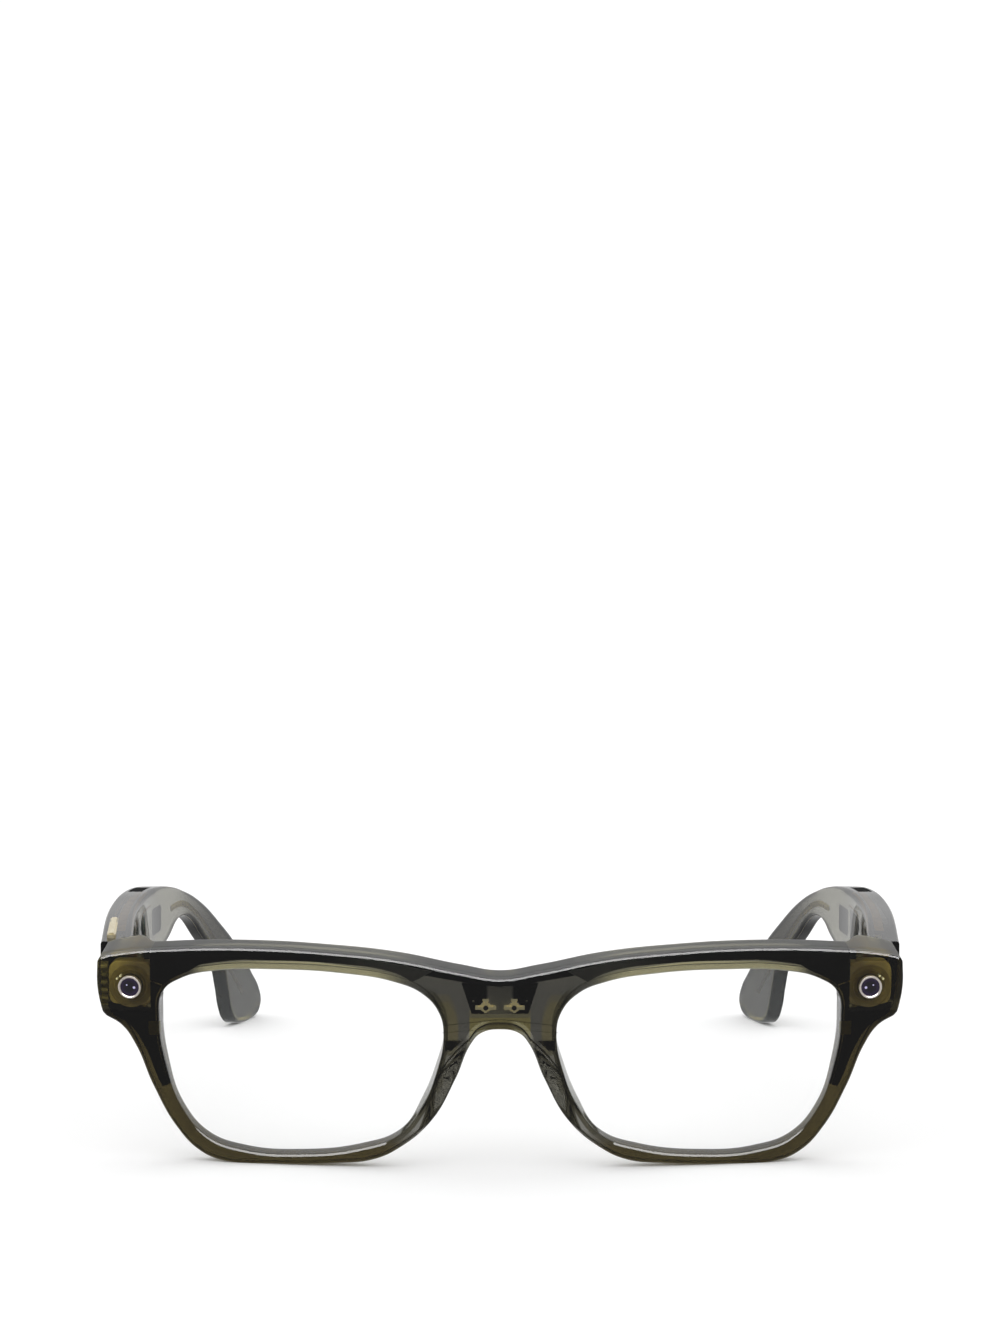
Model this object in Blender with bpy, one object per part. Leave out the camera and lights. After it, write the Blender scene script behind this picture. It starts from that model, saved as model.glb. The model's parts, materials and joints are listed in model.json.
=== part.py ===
"""Smart glasses: a resin front with two cameras or lights, and two folding temples full of electronics.

Metres, +Z up. X runs across the front, and the wearer's right is at -X. Y runs backwards from the
front to the temple tips. The glasses stand on the table plane z = 0, on the rims and the tips.

The front is drawn flat, as a pattern: x across, y its depth behind the front face, z its height.
bend_front() then curves the pattern round the face and tilts it. A temple is drawn straight, with x
counted from its inner face outwards, and bend_temple() then bows it round the head.
"""

import math

import bmesh
import bpy
import numpy as np
from mathutils import Matrix, Vector

MM = 0.001

# Driving dimensions of the front
WRAP_RADIUS = 260 * MM          # the curve of the front round the face
END_START = 54 * MM             # past here the front flattens again
END_FLATTEN = 6.06              # how fast it flattens, in 1/m
TILT = math.radians(7)          # the top of the front leans forwards
LIFT = -0.07 * MM               # sets the lowest point of the rims on the table
FRONT_DEPTH = 2.1 * MM          # thickness of the front shell
SEAM = 0.15 * MM                # glue line between two shells
BROW_DEPTH = 6.6 * MM           # the whole front at the brow
RIM_DEPTH = 3.6 * MM            # the whole front at the bottom of the rims
END_FACE_Y = 15.0 * MM          # flat rear face of the end pieces, where the temples meet them
LENS_FRONT = 1.4 * MM
LENS_THICKNESS = 1.5 * MM
LENS_HOLD = 0.6 * MM            # how far the lens reaches into the rim
CAMERA_CENTRE = (67.5 * MM, 31.5 * MM)
CAMERA_SIZE = (8.2 * MM, 4.4 * MM, 8.6 * MM)
GUIDE_SPOTS = ((2.55, 1.9), (1.9, 2.45))   # light guides beside the camera, outwards and up, in mm

# Driving dimensions of the temples
TEMPLE_THICKNESS = 5.8 * MM
TIP_TAPER = 0.42                # how much thinner the tip is
COVER_THICKNESS = 1.3 * MM
CAVITY_DEPTH = 3.1 * MM
SHELL_START = COVER_THICKNESS + SEAM
PIVOT = (67.6 * MM, 16.9 * MM)  # the hinge axis, which is vertical
KNUCKLE_RADIUS = 1.5 * MM
KNUCKLES = ((29.9, 31.4), (34.7, 36.2))   # heights of the front leaf's knuckles, in mm
TEMPLE_KNUCKLE = (31.6, 34.5)             # height of the temple leaf's knuckle, in mm

SLICE = 8 * MM                  # spacing of the edge rings that let a piece bend

# Half of the front's outline, from the middle of the brow round to the nose arch, in mm
FRONT_OUTLINE = [
    (0, 35.4), (-7.2, 36.3), (-18.7, 38.3), (-32, 39.5), (-45.2, 39.8), (-60, 38.8),
    (-71.5, 37.5), (-73.6, 37.0, "corner"), (-74.1, 36.2, "corner"), (-74.2, 32), (-73.7, 28.2),
    (-72.6, 26.4), (-69.8, 24.6), (-67, 21.1), (-63.7, 13.3), (-59.5, 5.6), (-55.3, 1.3),
    (-50.6, -0.45), (-42, -0.45), (-30, 0.3), (-23.1, 1.3), (-18.7, 3.4), (-12.4, 9),
    (-8, 17), (-5.1, 23.7), (-3.4, 25.5), (0, 26.2)]
# The lens opening of the wearer's right side, in mm
LENS_OUTLINE = [
    (-37, 1.65), (-47, 1.9), (-53.8, 4), (-58.4, 9.2), (-61.2, 17), (-62.4, 26), (-61.6, 31.2),
    (-58.3, 33.9), (-52, 35.8), (-40.5, 36.7), (-28, 36.4), (-19, 35), (-14, 32.8), (-11, 29.2),
    (-10.2, 25), (-11.6, 17.6), (-14.3, 11.2), (-18.5, 6), (-25, 3.4)]
# Solid end piece behind the front shell, on the wearer's left, in mm
END_OUTLINE = [
    (62.8, 37.9, "corner"), (70.8, 37.1, "corner"), (73.8, 36.2, "corner"), (73.95, 32),
    (73.45, 28.4), (72.4, 26.9, "corner"), (66.5, 26.9, "corner"), (63.6, 30.5)]
# Black antenna plate in the outer rim, on the wearer's right, in mm
ANTENNA_OUTLINE = [
    (-71.6, 26.7, "corner"), (-69.2, 24.9), (-66.2, 20.6), (-63.3, 13.8, "corner"),
    (-62, 13.8, "corner"), (-63.2, 19.5), (-63.8, 26.7, "corner")]
# Line of the black carrier and the flexible circuit along the brow, in mm
BROW_LINE = [(-65, 37.35), (-57, 38.05), (-45, 38.5), (-32, 38.45), (-18.7, 37.2), (-9, 35.6), (0, 34.4)]
BRIDGE_BOARD_OUTLINE = [
    (-6.9, 34.3, "corner"), (-5.1, 28.6, "corner"), (5.1, 28.6, "corner"), (6.9, 34.3, "corner")]
# Outline of a temple, seen from the side: distance behind the front and height, in mm
TEMPLE_OUTLINE = [
    (15.3, 39.2, "corner"), (35, 40), (60, 40.4), (78, 40.5), (90, 39.9), (100, 38.7), (108, 37),
    (121.4, 32.6), (134.5, 25.3), (144, 18.6), (152, 11.2), (155.8, 7.2), (157, 3.6), (155, 0.9),
    (150, -0.05), (145.5, 0.15), (141.2, 1.4), (138.7, 4.6), (137.2, 9), (134.7, 14.7), (130, 19),
    (123, 24.2), (114.5, 29.7), (109, 31), (104, 30.2), (98.3, 27.7), (93, 26.4), (84, 26), (60, 26.1),
    (30, 27.3), (15.3, 28.5, "corner")]
COVER_START = 19.6              # the inner cover leaves the hinge free, in mm
CAVITY_OUTLINE = [
    (17.2, 30, "corner"), (17.2, 37.6, "corner"), (36, 38.3), (60, 38.7), (78, 38.8), (88, 38.1),
    (94, 36.5, "corner"), (94, 30.5, "corner"), (86, 28), (60, 27.9), (36, 28.8)]
# Centre line of the metal core in the hooked end, distance behind the front and height, in mm
CORE_LINE = [(100.5, 33.8), (109, 33.8), (117, 31.2), (127, 25.2), (137, 16.5), (146.5, 7.5)]
# The bow of a temple's inner face: distance behind the front and distance from the middle, in mm
BOW_LINE = [(15, 68.9), (30, 71), (50, 72.8), (70, 74), (85, 74.2), (95, 73.2), (105, 71.6),
            (120, 68.6), (135, 65), (150, 60.6), (157, 58.1)]
BOW = np.poly1d(np.polyfit(*np.array(BOW_LINE).T * MM, 5))
BOW_SLOPE = BOW.deriv()

COLOURS = {   # colour, roughness, metallic
    "smoke_resin": ((0.09, 0.09, 0.075), 0.15, 0.0),
    "olive_resin": ((0.16, 0.15, 0.08), 0.2, 0.0),
    "clear_lens": ((0.9, 0.93, 0.93), 0.03, 0.0),
    "black_plastic": ((0.012, 0.012, 0.012), 0.45, 0.0),
    "olive_plastic": ((0.2, 0.16, 0.05), 0.4, 0.0),
    "rose_gold": ((0.86, 0.72, 0.6), 0.25, 1.0),
    "camera_glass": ((0.02, 0.008, 0.04), 0.05, 0.0),
    "pale_light": ((0.9, 0.9, 0.75), 0.3, 0.0),
    "brass": ((0.72, 0.62, 0.32), 0.3, 1.0),
    "steel": ((0.62, 0.62, 0.6), 0.3, 1.0),
    "flex_film": ((0.24, 0.14, 0.04), 0.4, 0.0),
    "board_green": ((0.03, 0.09, 0.05), 0.45, 0.0),
    "battery_foil": ((0.5, 0.5, 0.52), 0.35, 0.6)}


# ---- Scene, collections and materials

def clear_scene():
    for item in list(bpy.data.objects):
        bpy.data.objects.remove(item, do_unlink=True)


def new_collection(name):
    made = bpy.data.collections.new(name)
    bpy.context.scene.collection.children.link(made)
    return made


def make_material(name):
    colour, roughness, metallic = COLOURS[name]
    material = bpy.data.materials.new(name)
    material.use_nodes = True
    shader = material.node_tree.nodes["Principled BSDF"]
    shader.inputs["Base Color"].default_value = (*colour, 1)
    shader.inputs["Roughness"].default_value = roughness
    shader.inputs["Metallic"].default_value = metallic
    return material


clear_scene()
PARTS = new_collection("smart_glasses")
CUTTERS = new_collection("cutters")
MATERIALS = {name: make_material(name) for name in COLOURS}


# ---- Making solids

def place_mesh(mesh, name, material=None):
    """Link a mesh as a named part, or as a cutter when it has no material."""
    part = bpy.data.objects.new(name, mesh)
    if material:
        PARTS.objects.link(part)
        mesh.materials.clear()
        mesh.materials.append(MATERIALS[material])
    else:
        CUTTERS.objects.link(part)
        part.hide_render = True
        part.display_type = "WIRE"
    return part


def from_bmesh(shape, name, material=None):
    mesh = bpy.data.meshes.new(name)
    shape.to_mesh(mesh)
    shape.free()
    return place_mesh(mesh, name, material)


def block(name, low, high, material=None, bevel=0.0, matrix=None):
    """A box between two corners given in mm, with rounded edges, placed by a matrix."""
    low = Vector(low) * MM
    high = Vector(high) * MM
    shape = bmesh.new()
    bmesh.ops.create_cube(shape, size=1)
    bmesh.ops.transform(shape, verts=shape.verts,
                        matrix=Matrix.Translation((low + high) / 2) @ Matrix.Diagonal((*(high - low), 1)))
    if bevel:
        bmesh.ops.bevel(shape, geom=shape.edges[:], offset=bevel * MM, segments=2, affect="EDGES")
    if matrix:
        bmesh.ops.transform(shape, verts=shape.verts, matrix=matrix)
    return from_bmesh(shape, name, material)


def drum(name, radius, low, high, material=None, matrix=None, top_radius=None, segments=32):
    """A round bar on the local Z axis from height low to high, all in mm."""
    shape = bmesh.new()
    bmesh.ops.create_cone(shape, cap_ends=True, segments=segments, radius1=radius * MM,
                          radius2=(radius if top_radius is None else top_radius) * MM,
                          depth=(high - low) * MM)
    place = Matrix.Translation((0, 0, (low + high) / 2 * MM))
    if matrix:
        place = matrix @ place
    bmesh.ops.transform(shape, verts=shape.verts, matrix=place)
    return from_bmesh(shape, name, material)


def add_spline(curve, points):
    spline = curve.splines.new("BEZIER")
    spline.bezier_points.add(len(points) - 1)
    for knot, point in zip(spline.bezier_points, points):
        knot.co = (point[0] * MM, point[1] * MM, 0)
        kind = "VECTOR" if len(point) > 2 else "AUTO"
        knot.handle_left_type = kind
        knot.handle_right_type = kind
    spline.use_cyclic_u = True


def mesh_of(item):
    """The evaluated mesh of an object, with loose caps welded."""
    graph = bpy.context.evaluated_depsgraph_get()
    mesh = bpy.data.meshes.new_from_object(item.evaluated_get(graph))
    shape = bmesh.new()
    shape.from_mesh(mesh)
    bmesh.ops.remove_doubles(shape, verts=shape.verts, dist=0.002 * MM)
    shape.to_mesh(mesh)
    shape.free()
    return mesh


def plate(name, outlines, near, far, turn, material=None, resolution=3):
    """Outlines in mm, filled and extruded from near to far along the local Z axis, then turned."""
    curve = bpy.data.curves.new(name, "CURVE")
    curve.dimensions = "2D"
    curve.fill_mode = "BOTH"
    curve.resolution_u = resolution
    curve.extrude = (far - near) / 2
    for points in outlines:
        add_spline(curve, points)
    guide = bpy.data.objects.new(name + "_curve", curve)
    CUTTERS.objects.link(guide)
    mesh = mesh_of(guide)
    bpy.data.objects.remove(guide)
    mesh.transform(turn @ Matrix.Translation((0, 0, (near + far) / 2)))
    return place_mesh(mesh, name, material)


# Local X, Y, Z of an outline become x, z and minus y of the front
FRONT_TURN = Matrix.Rotation(math.pi / 2, 4, "X")
# Local X, Y, Z of an outline become y, z and x of a temple
SIDE_TURN = Matrix(((0, 0, 1, 0), (1, 0, 0, 0), (0, 1, 0, 0), (0, 0, 0, 1)))


def front_plate(name, outlines, near, far, material=None):
    """A plate in the front's pattern, between two depths behind the front face."""
    return plate(name, outlines, -far, -near, FRONT_TURN, material)


def side_plate(name, outlines, near, far, material=None):
    """A plate in a temple's pattern, between two distances from its inner face."""
    return plate(name, outlines, near, far, SIDE_TURN, material, resolution=4)


def combine(target, tool, operation="DIFFERENCE"):
    """Apply a Boolean of the tool to the target, and remove the tool."""
    change = target.modifiers.new(operation.lower(), "BOOLEAN")
    change.operation = operation
    change.object = tool
    change.solver = "EXACT"
    mesh = mesh_of(target)
    target.modifiers.clear()
    materials = target.data.materials[:]
    target.data = mesh
    mesh.materials.clear()
    for material in materials:
        mesh.materials.append(material)
    bpy.data.objects.remove(tool)


def flipped(points):
    return [(-point[0], *point[1:]) for point in reversed(points)]


def grown(points, margin):
    """An outline in mm, moved outwards by a margin: each point goes along the mean of its two normals."""
    flat = np.array([point[:2] for point in points])
    edge = np.roll(flat, -1, axis=0) - flat
    area = np.sum(flat[:, 0] * np.roll(flat[:, 1], -1) - flat[:, 1] * np.roll(flat[:, 0], -1))
    normal = np.stack([edge[:, 1], -edge[:, 0]], axis=1) * np.sign(area)
    normal /= np.linalg.norm(normal, axis=1, keepdims=True)
    before = np.roll(normal, 1, axis=0)
    shift = (before + normal) / (1 + np.sum(before * normal, axis=1, keepdims=True))
    moved = flat + shift * margin
    return [(float(x), float(z), *point[2:]) for (x, z), point in zip(moved, points)]


def mirror_copy(part, name):
    """A mirror image across the middle, for the wearer's other side."""
    shape = bmesh.new()
    shape.from_mesh(part.data)
    bmesh.ops.transform(shape, verts=shape.verts, matrix=part.matrix_world)
    bmesh.ops.scale(shape, vec=(-1, 1, 1), verts=shape.verts)
    bmesh.ops.reverse_faces(shape, faces=shape.faces)
    return from_bmesh(shape, name, part.data.materials[0].name)


def bend(part, axis, low, high, shape_of):
    """Slice the mesh every SLICE along an axis, then move each vertex by a rule."""
    shape = bmesh.new()
    shape.from_mesh(part.data)
    bmesh.ops.dissolve_limit(shape, angle_limit=math.radians(0.05), verts=shape.verts, edges=shape.edges)
    normal = Vector((1, 0, 0)) if axis == 0 else Vector((0, 1, 0))
    for step in range(int((high - low) / SLICE) + 1):
        bmesh.ops.bisect_plane(shape, geom=shape.verts[:] + shape.edges[:] + shape.faces[:],
                               plane_co=normal * (low + step * SLICE), plane_no=normal,
                               dist=0.001 * MM)
    bmesh.ops.triangulate(shape, faces=shape.faces)
    for vert in shape.verts:
        vert.co = shape_of(vert.co)
    shape.to_mesh(part.data)
    shape.free()
    return part


# ---- The two bends

def wrap(x):
    """How far the front face is set back at x."""
    return x * x / (2 * WRAP_RADIUS) - END_FLATTEN * max(0.0, abs(x) - END_START) ** 2


def front_point(point):
    """A point of the front's pattern, curved round the face and tilted."""
    curved = Vector((point[0], point[1] + wrap(point[0]), point[2]))
    return Matrix.Rotation(TILT, 3, "X") @ curved + Vector((0, 0, LIFT))


def bend_front(part):
    return bend(part, 0, -72 * MM, 72 * MM, front_point)


def taper(y):
    part_way = min(1.0, max(0.0, (y - 88 * MM) / (24 * MM)))
    return 1 - TIP_TAPER * part_way * part_way * (3 - 2 * part_way)


def temple_point(point):
    """A point of a temple's pattern, bowed round the head on the wearer's left."""
    return Vector((BOW(point[1]) + point[0] * taper(point[1]), point[1], point[2]))


def bend_temple(part):
    return bend(part, 1, 20 * MM, 156 * MM, temple_point)


def face_frame(x, depth, height):
    """A frame on the front at x and height: local Z points out of the front face."""
    slope = wrap(abs(x) + 0.5 * MM) - wrap(abs(x) - 0.5 * MM)
    turn = math.copysign(math.atan(slope / MM), x)
    out = Matrix.Rotation(TILT, 4, "X") @ Matrix.Rotation(turn, 4, "Z") @ Matrix.Rotation(math.pi / 2, 4, "X")
    return Matrix.Translation(front_point((x, depth, height))) @ out


def arm_frame(y):
    """A frame in the left temple at y: local X points outwards from the inner face, local Y back."""
    return Matrix.Translation((BOW(y), y, 0)) @ Matrix.Rotation(-math.atan(BOW_SLOPE(y)), 4, "Z")


def arm_block(name, y_range, z_range, x_range, material=None, bevel=0.0):
    """A box in the left temple, in mm, square to the bow at the middle of its length."""
    middle = sum(y_range) / 2
    half = (y_range[1] - y_range[0]) / 2
    return block(name, (x_range[0], -half, z_range[0]), (x_range[1], half, z_range[1]),
                 material, bevel, arm_frame(middle * MM))


def arm_strip(name, y_range, z_range, x_range, material=None):
    """A thin strip in the left temple, in mm, that follows the bow."""
    corners = [(y, z, "corner") for y, z in zip(sorted(y_range * 2), (*z_range, *z_range[::-1]))]
    near, far = x_range
    return bend_temple(side_plate(name, [corners], near * MM, far * MM, material))


# ---- The front

def make_front():
    outline = FRONT_OUTLINE + flipped(FRONT_OUTLINE[1:-1])
    openings = [LENS_OUTLINE, flipped(LENS_OUTLINE)]

    front = front_plate("front_shell", [outline, *openings], 0, FRONT_DEPTH, "smoke_resin")
    rear = front_plate("rear_shell", [outline, *openings], FRONT_DEPTH + SEAM, BROW_DEPTH, "smoke_resin")
    thin_rims(rear)
    for opening in openings:
        seat = grown(opening, LENS_HOLD / MM + 0.3)
        seat_depths = (LENS_FRONT - SEAM, LENS_FRONT + LENS_THICKNESS + SEAM)
        combine(front, front_plate("seat", [seat], *seat_depths))
        combine(rear, front_plate("seat", [seat], *seat_depths))
    for antenna in (ANTENNA_OUTLINE, flipped(ANTENNA_OUTLINE)):
        combine(front, front_plate("pocket", [grown(antenna, 0.25)], 1.15 * MM, 3 * MM))
    channel = grown(brow_strip(), 0.25)
    combine(front, front_plate("channel", [channel], 1.15 * MM, 3 * MM))
    for sign in (-1, 1):
        combine(rear, nose_pad(sign), "UNION")
        end = END_OUTLINE if sign > 0 else flipped(END_OUTLINE)
        combine(rear, front_plate("end", [end], FRONT_DEPTH + 1.2 * MM, 13 * MM), "UNION")
    combine(rear, front_plate("channel", [channel], 1 * MM, 3.2 * MM))
    board_room = grown(BRIDGE_BOARD_OUTLINE, 0.3)
    combine(rear, front_plate("board_room", [board_room], 1 * MM, 4 * MM))
    bend_front(front)
    bend_front(rear)
    for shell in (front, rear):
        combine(shell, block("table", (-90, -20, -5), (90, 20, 0)))
    combine(rear, block("behind", (-90, END_FACE_Y / MM, 20), (90, 40, 50)))
    return front, rear


def thin_rims(shell):
    """Taper the depth of the rear shell from the brow down to the bottom of the rims."""
    base = FRONT_DEPTH + SEAM
    for vert in shell.data.vertices:
        rise = min(1.0, max(0.0, (vert.co.z - 8 * MM) / (22 * MM)))
        depth = RIM_DEPTH + (BROW_DEPTH - RIM_DEPTH) * rise * rise * (3 - 2 * rise)
        vert.co.y = base + (vert.co.y - base) * (depth - base) / (BROW_DEPTH - base)


def nose_pad(sign):
    """A moulded nose pad: a flattened egg that leans out and back from the rim."""
    shape = bmesh.new()
    bmesh.ops.create_uvsphere(shape, u_segments=20, v_segments=14, radius=1)
    place = (Matrix.Translation((sign * 11.7 * MM, 6.4 * MM, 15 * MM))
             @ Matrix.Rotation(-sign * math.radians(27), 4, "Y")
             @ Matrix.Rotation(-sign * math.radians(24), 4, "Z")
             @ Matrix.Diagonal((1.6 * MM, 5 * MM, 7.4 * MM, 1)))
    bmesh.ops.transform(shape, verts=shape.verts, matrix=place)
    pad = from_bmesh(shape, "nose_pad")
    combine(pad, block("front_shell_room", (-40, -10, -10), (40, FRONT_DEPTH / MM + 1.1, 50)))
    return pad


def brow_strip(half_height=0.6):
    """A strip along the brow line, of a given half height in mm."""
    line = BROW_LINE + flipped(BROW_LINE[:-1])
    top = [(x, z + half_height) for x, z in line]
    bottom = [(x, z - half_height) for x, z in reversed(line)]
    for edge in (top, bottom):
        edge[0] += ("corner",)
        edge[-1] += ("corner",)
    return top + bottom


def make_lenses():
    for name, opening in (("right_lens", LENS_OUTLINE), ("left_lens", flipped(LENS_OUTLINE))):
        edge = grown(opening, LENS_HOLD / MM)
        bend_front(front_plate(name, [edge], LENS_FRONT, LENS_FRONT + LENS_THICKNESS, "clear_lens"))


def make_front_electronics():
    for name, outline in (("right_rim_antenna", ANTENNA_OUTLINE),
                          ("left_rim_antenna", flipped(ANTENNA_OUTLINE))):
        bend_front(front_plate(name, [outline], 1.4 * MM, 2 * MM, "black_plastic"))
    bend_front(front_plate("brow_carrier", [brow_strip()], 1.4 * MM, 2 * MM, "black_plastic"))
    bend_front(front_plate("brow_flex", [brow_strip()], 2.5 * MM, 2.8 * MM, "flex_film"))


def make_bridge(rear):
    """Charging contacts, their board and the microphone in the bridge."""
    board = front_plate("bridge_board", [BRIDGE_BOARD_OUTLINE], 3.05 * MM, 3.65 * MM, "black_plastic")
    for sign, side in ((-1, "right"), (1, "left")):
        place = face_frame(sign * 2.6 * MM, BROW_DEPTH, 29.9 * MM)
        contact = drum(f"{side}_charging_contact", 0.75, -0.35, 3.9, "brass", place, segments=24)
        combine(contact, drum("flange", 1.15, 1.75, 2.25, None, place, segments=24), "UNION")
        combine(rear, drum("hole", 1.0, -5, 8, None, place, segments=24))
        combine(rear, drum("flange_room", 1.45, 1.4, 8, None, place, segments=24))
        combine(board, drum("hole", 1.05, -5, 8, None, front_hole(sign * 2.6 * MM, 29.9 * MM), segments=24))
    bend_front(board)
    place = face_frame(0, 4 * MM, 32.6 * MM)
    block("bridge_microphone", (-1.5, -1, -1.2), (1.5, 1, 0), "steel", 0.15, place)
    combine(rear, block("microphone_room", (-1.9, -1.4, -1.6), (1.9, 1.4, 1), None, 0, place))


def front_hole(x, height):
    """A frame for a hole through a flat pattern of the front: local Z runs forwards."""
    return Matrix.Translation((x, 0, height)) @ Matrix.Rotation(math.pi / 2, 4, "X")


def make_eye_modules(front, rear):
    """The camera on the wearer's left, and the recording light of the same shape on the right."""
    width, depth, height = (size / MM for size in CAMERA_SIZE)
    for sign, side, kind in ((-1, "right", "light"), (1, "left", "camera")):
        place = face_frame(sign * CAMERA_CENTRE[0], 0, CAMERA_CENTRE[1])
        rise = 0.4
        low = (-width / 2, rise - height / 2, -1.45 - depth)
        high = (width / 2, rise + height / 2, -1.45)
        housing = block(f"{side}_{kind}_housing", low, high, "olive_plastic", 0.5, place)
        margin = Vector((0.3, 0.3, 0.3))
        for shell in (front, rear):
            combine(shell, block("room", Vector(low) - margin, Vector(high) + margin, None, 0.5, place))
            combine(shell, drum("sight", 2.45, -5, 5, None, place))
        combine(housing, drum("barrel_hole", 2.1, -4.5, 1, None, place))
        ring = drum(f"{side}_{kind}_ring", 2.15, -1.1, 0.05, "rose_gold", place)
        combine(ring, drum("ring_hole", 1.72, -3, 3, None, place))
        drum(f"{side}_{kind}_lens", 1.45, -2.9, -0.35, "camera_glass", place)
        for number, (x, y) in enumerate(GUIDE_SPOTS, 1):
            at = place @ Matrix.Translation((sign * x * MM, y * MM, 0))
            combine(front, drum("guide_hole", 0.35, -3, 3, None, at, segments=12))
            drum(f"{side}_light_guide_{number}", 0.2, -1.35, 0.0, "pale_light", at, segments=12)
        inside, material = ("sensor", "board_green") if kind == "camera" else ("emitter", "pale_light")
        block(f"{side}_{kind}_{inside}", (-1.35, -1.35, -4.3), (1.35, 1.35, -3.3), material, 0.1, place)


# ---- The hinges

def upright(x, y):
    return Matrix.Translation((x, y, 0))


def make_hinge(rear):
    """One hinge on the wearer's left: two leaves, the screw and the coiled flexible circuit."""
    x = PIVOT[0] / MM
    y = PIVOT[1] / MM
    axis = upright(*PIVOT)
    radius = KNUCKLE_RADIUS / MM
    low, high = KNUCKLES[0][0], KNUCKLES[1][1]
    leaf = block("left_front_hinge", (x - 0.5, 10.8, low), (x + 0.5, y - 2.4, high), "brass")
    for bottom, top in KNUCKLES:
        combine(leaf, block("arm", (x - 0.6, y - 3, bottom), (x + 0.6, y, top)), "UNION")
        combine(leaf, drum("knuckle", radius, bottom, top, None, axis), "UNION")
    combine(leaf, drum("pin_hole", 0.85, 20, 50, None, axis))
    for sign in (1, -1):
        reach = (sign * (x - 0.9), sign * (x + 0.9))
        combine(rear, block("leaf_slot", (min(reach), 10.4, low - 0.3), (max(reach), 20, high + 0.3)))

    bottom, top = TEMPLE_KNUCKLE
    arm = arm_block("left_temple_hinge", (y + 0.9, 27), (bottom, top), (1.75, 2.65), "brass")
    combine(arm, block("arm", (x, y + 0.9, bottom), (x + 4.2, y + 2.2, top)), "UNION")
    combine(arm, drum("knuckle", radius, bottom, top, None, axis), "UNION")
    combine(arm, drum("pin_hole", 0.85, 20, 50, None, axis))

    screw = drum("left_hinge_screw", 0.6, low - 0.7, high + 0.05, "steel", axis, segments=24)
    combine(screw, drum("head", 1.1, low - 0.9, low - 0.25, None, axis, segments=24), "UNION")

    coil = drum("left_hinge_flex", 1.3, high + 0.3, high + 1.5, "flex_film", axis, segments=24)
    combine(coil, block("tail", (x - 0.9, 12.5, high + 0.55), (x - 0.6, y, high + 1.25)), "UNION")
    combine(coil, drum("coil_hole", 0.85, 20, 50, None, axis, segments=24))
    for sign in (1, -1):
        reach = (sign * (x - 1.3), sign * (x + 0.2))
        combine(rear, block("tail_slot", (min(reach), 12, high - 0.5), (max(reach), 20, high + 1.6)))
    return [leaf, arm, screw, coil]


# ---- The temples

def make_temple_casing():
    """The outer shell and the inner cover of the left temple, still straight."""
    shell = side_plate("left_temple_shell", [TEMPLE_OUTLINE], SHELL_START, TEMPLE_THICKNESS, "smoke_resin")
    combine(shell, side_plate("cavity", [CAVITY_OUTLINE], 0, SHELL_START + CAVITY_DEPTH))
    combine(shell, core_tube("core_slot", 1.0, overrun=0.6))
    cover = side_plate("left_temple_cover", [TEMPLE_OUTLINE], 0, COVER_THICKNESS, "smoke_resin")
    combine(cover, block("hinge_room", (-5, 10, 20), (10, COVER_START, 50)))
    return shell, cover


def core_tube(name, radius, material=None, overrun=0.0):
    """A round wire along the middle of the hooked end, longer by the overrun at both ends, in mm."""
    line = [Vector(point) for point in CORE_LINE]
    line[0] += (line[0] - line[1]).normalized() * overrun
    line[-1] += (line[-1] - line[-2]).normalized() * overrun
    curve = bpy.data.curves.new(name, "CURVE")
    curve.dimensions = "3D"
    curve.bevel_depth = radius * MM
    curve.bevel_resolution = 2
    curve.resolution_u = 3
    curve.use_fill_caps = True
    spline = curve.splines.new("BEZIER")
    spline.bezier_points.add(len(line) - 1)
    for knot, (y, z) in zip(spline.bezier_points, line):
        knot.co = (2.4 * MM, y * MM, z * MM)
        knot.handle_left_type = "AUTO"
        knot.handle_right_type = "AUTO"
    guide = bpy.data.objects.new(name + "_curve", curve)
    CUTTERS.objects.link(guide)
    mesh = mesh_of(guide)
    bpy.data.objects.remove(guide)
    return place_mesh(mesh, name, material)


def finish_casing(shell, cover):
    """Bow the casing, stand it on the table and cut the vent for the speaker."""
    for part in (shell, cover):
        bend_temple(part)
        combine(part, block("table", (0, 100, -5), (90, 170, 0)))
    combine(shell, arm_block("vent_slot", (77.4, 86.6), (37, 45), (2.2, 4.6)))


def make_temple_insides():
    """What both temples hold: vent, speaker, core and flexible circuit."""
    vent = arm_block("left_speaker_vent", (77.8, 86.2), (39, 40.35), (2.5, 4.3), "black_plastic", 0.2)
    speaker = arm_block("left_speaker", (82.2, 91.6), (30.3, 35.9), (1.75, 3.9), "black_plastic", 0.4)
    core = bend_temple(core_tube("left_tip_core", 0.7, "brass"))
    flex = arm_strip("left_temple_flex", (28, 80), (37.1, 37.4), (1.9, 3.2), "flex_film")
    return [vent, speaker, core, flex]


def make_temples():
    shell, cover = make_temple_casing()
    finish_casing(shell, cover)
    shared = make_temple_insides()
    right_shell = mirror_copy(shell, "right_temple_shell")
    mirror_copy(cover, "right_temple_cover")
    for part in shared:
        mirror_copy(part, part.name.replace("left", "right"))
    make_power_switch(cover)
    arm_block("left_battery", (43, 79), (29, 36.5), (1.7, 3.7), "battery_foil", 0.3)
    make_right_only(right_shell)


def make_power_switch(cover):
    """A sliding switch in the left temple's inner cover, and its body behind the cover."""
    combine(cover, arm_block("switch_slot", (31.6, 39.4), (31.8, 34.2), (-2, 4)))
    arm_block("power_switch", (32, 37), (32.1, 33.9), (-0.5, 1.2), "black_plastic", 0.2)
    arm_block("power_switch_body", (30.5, 40.5), (30.8, 35.2), (1.8, 3.4), "black_plastic", 0.2)


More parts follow.
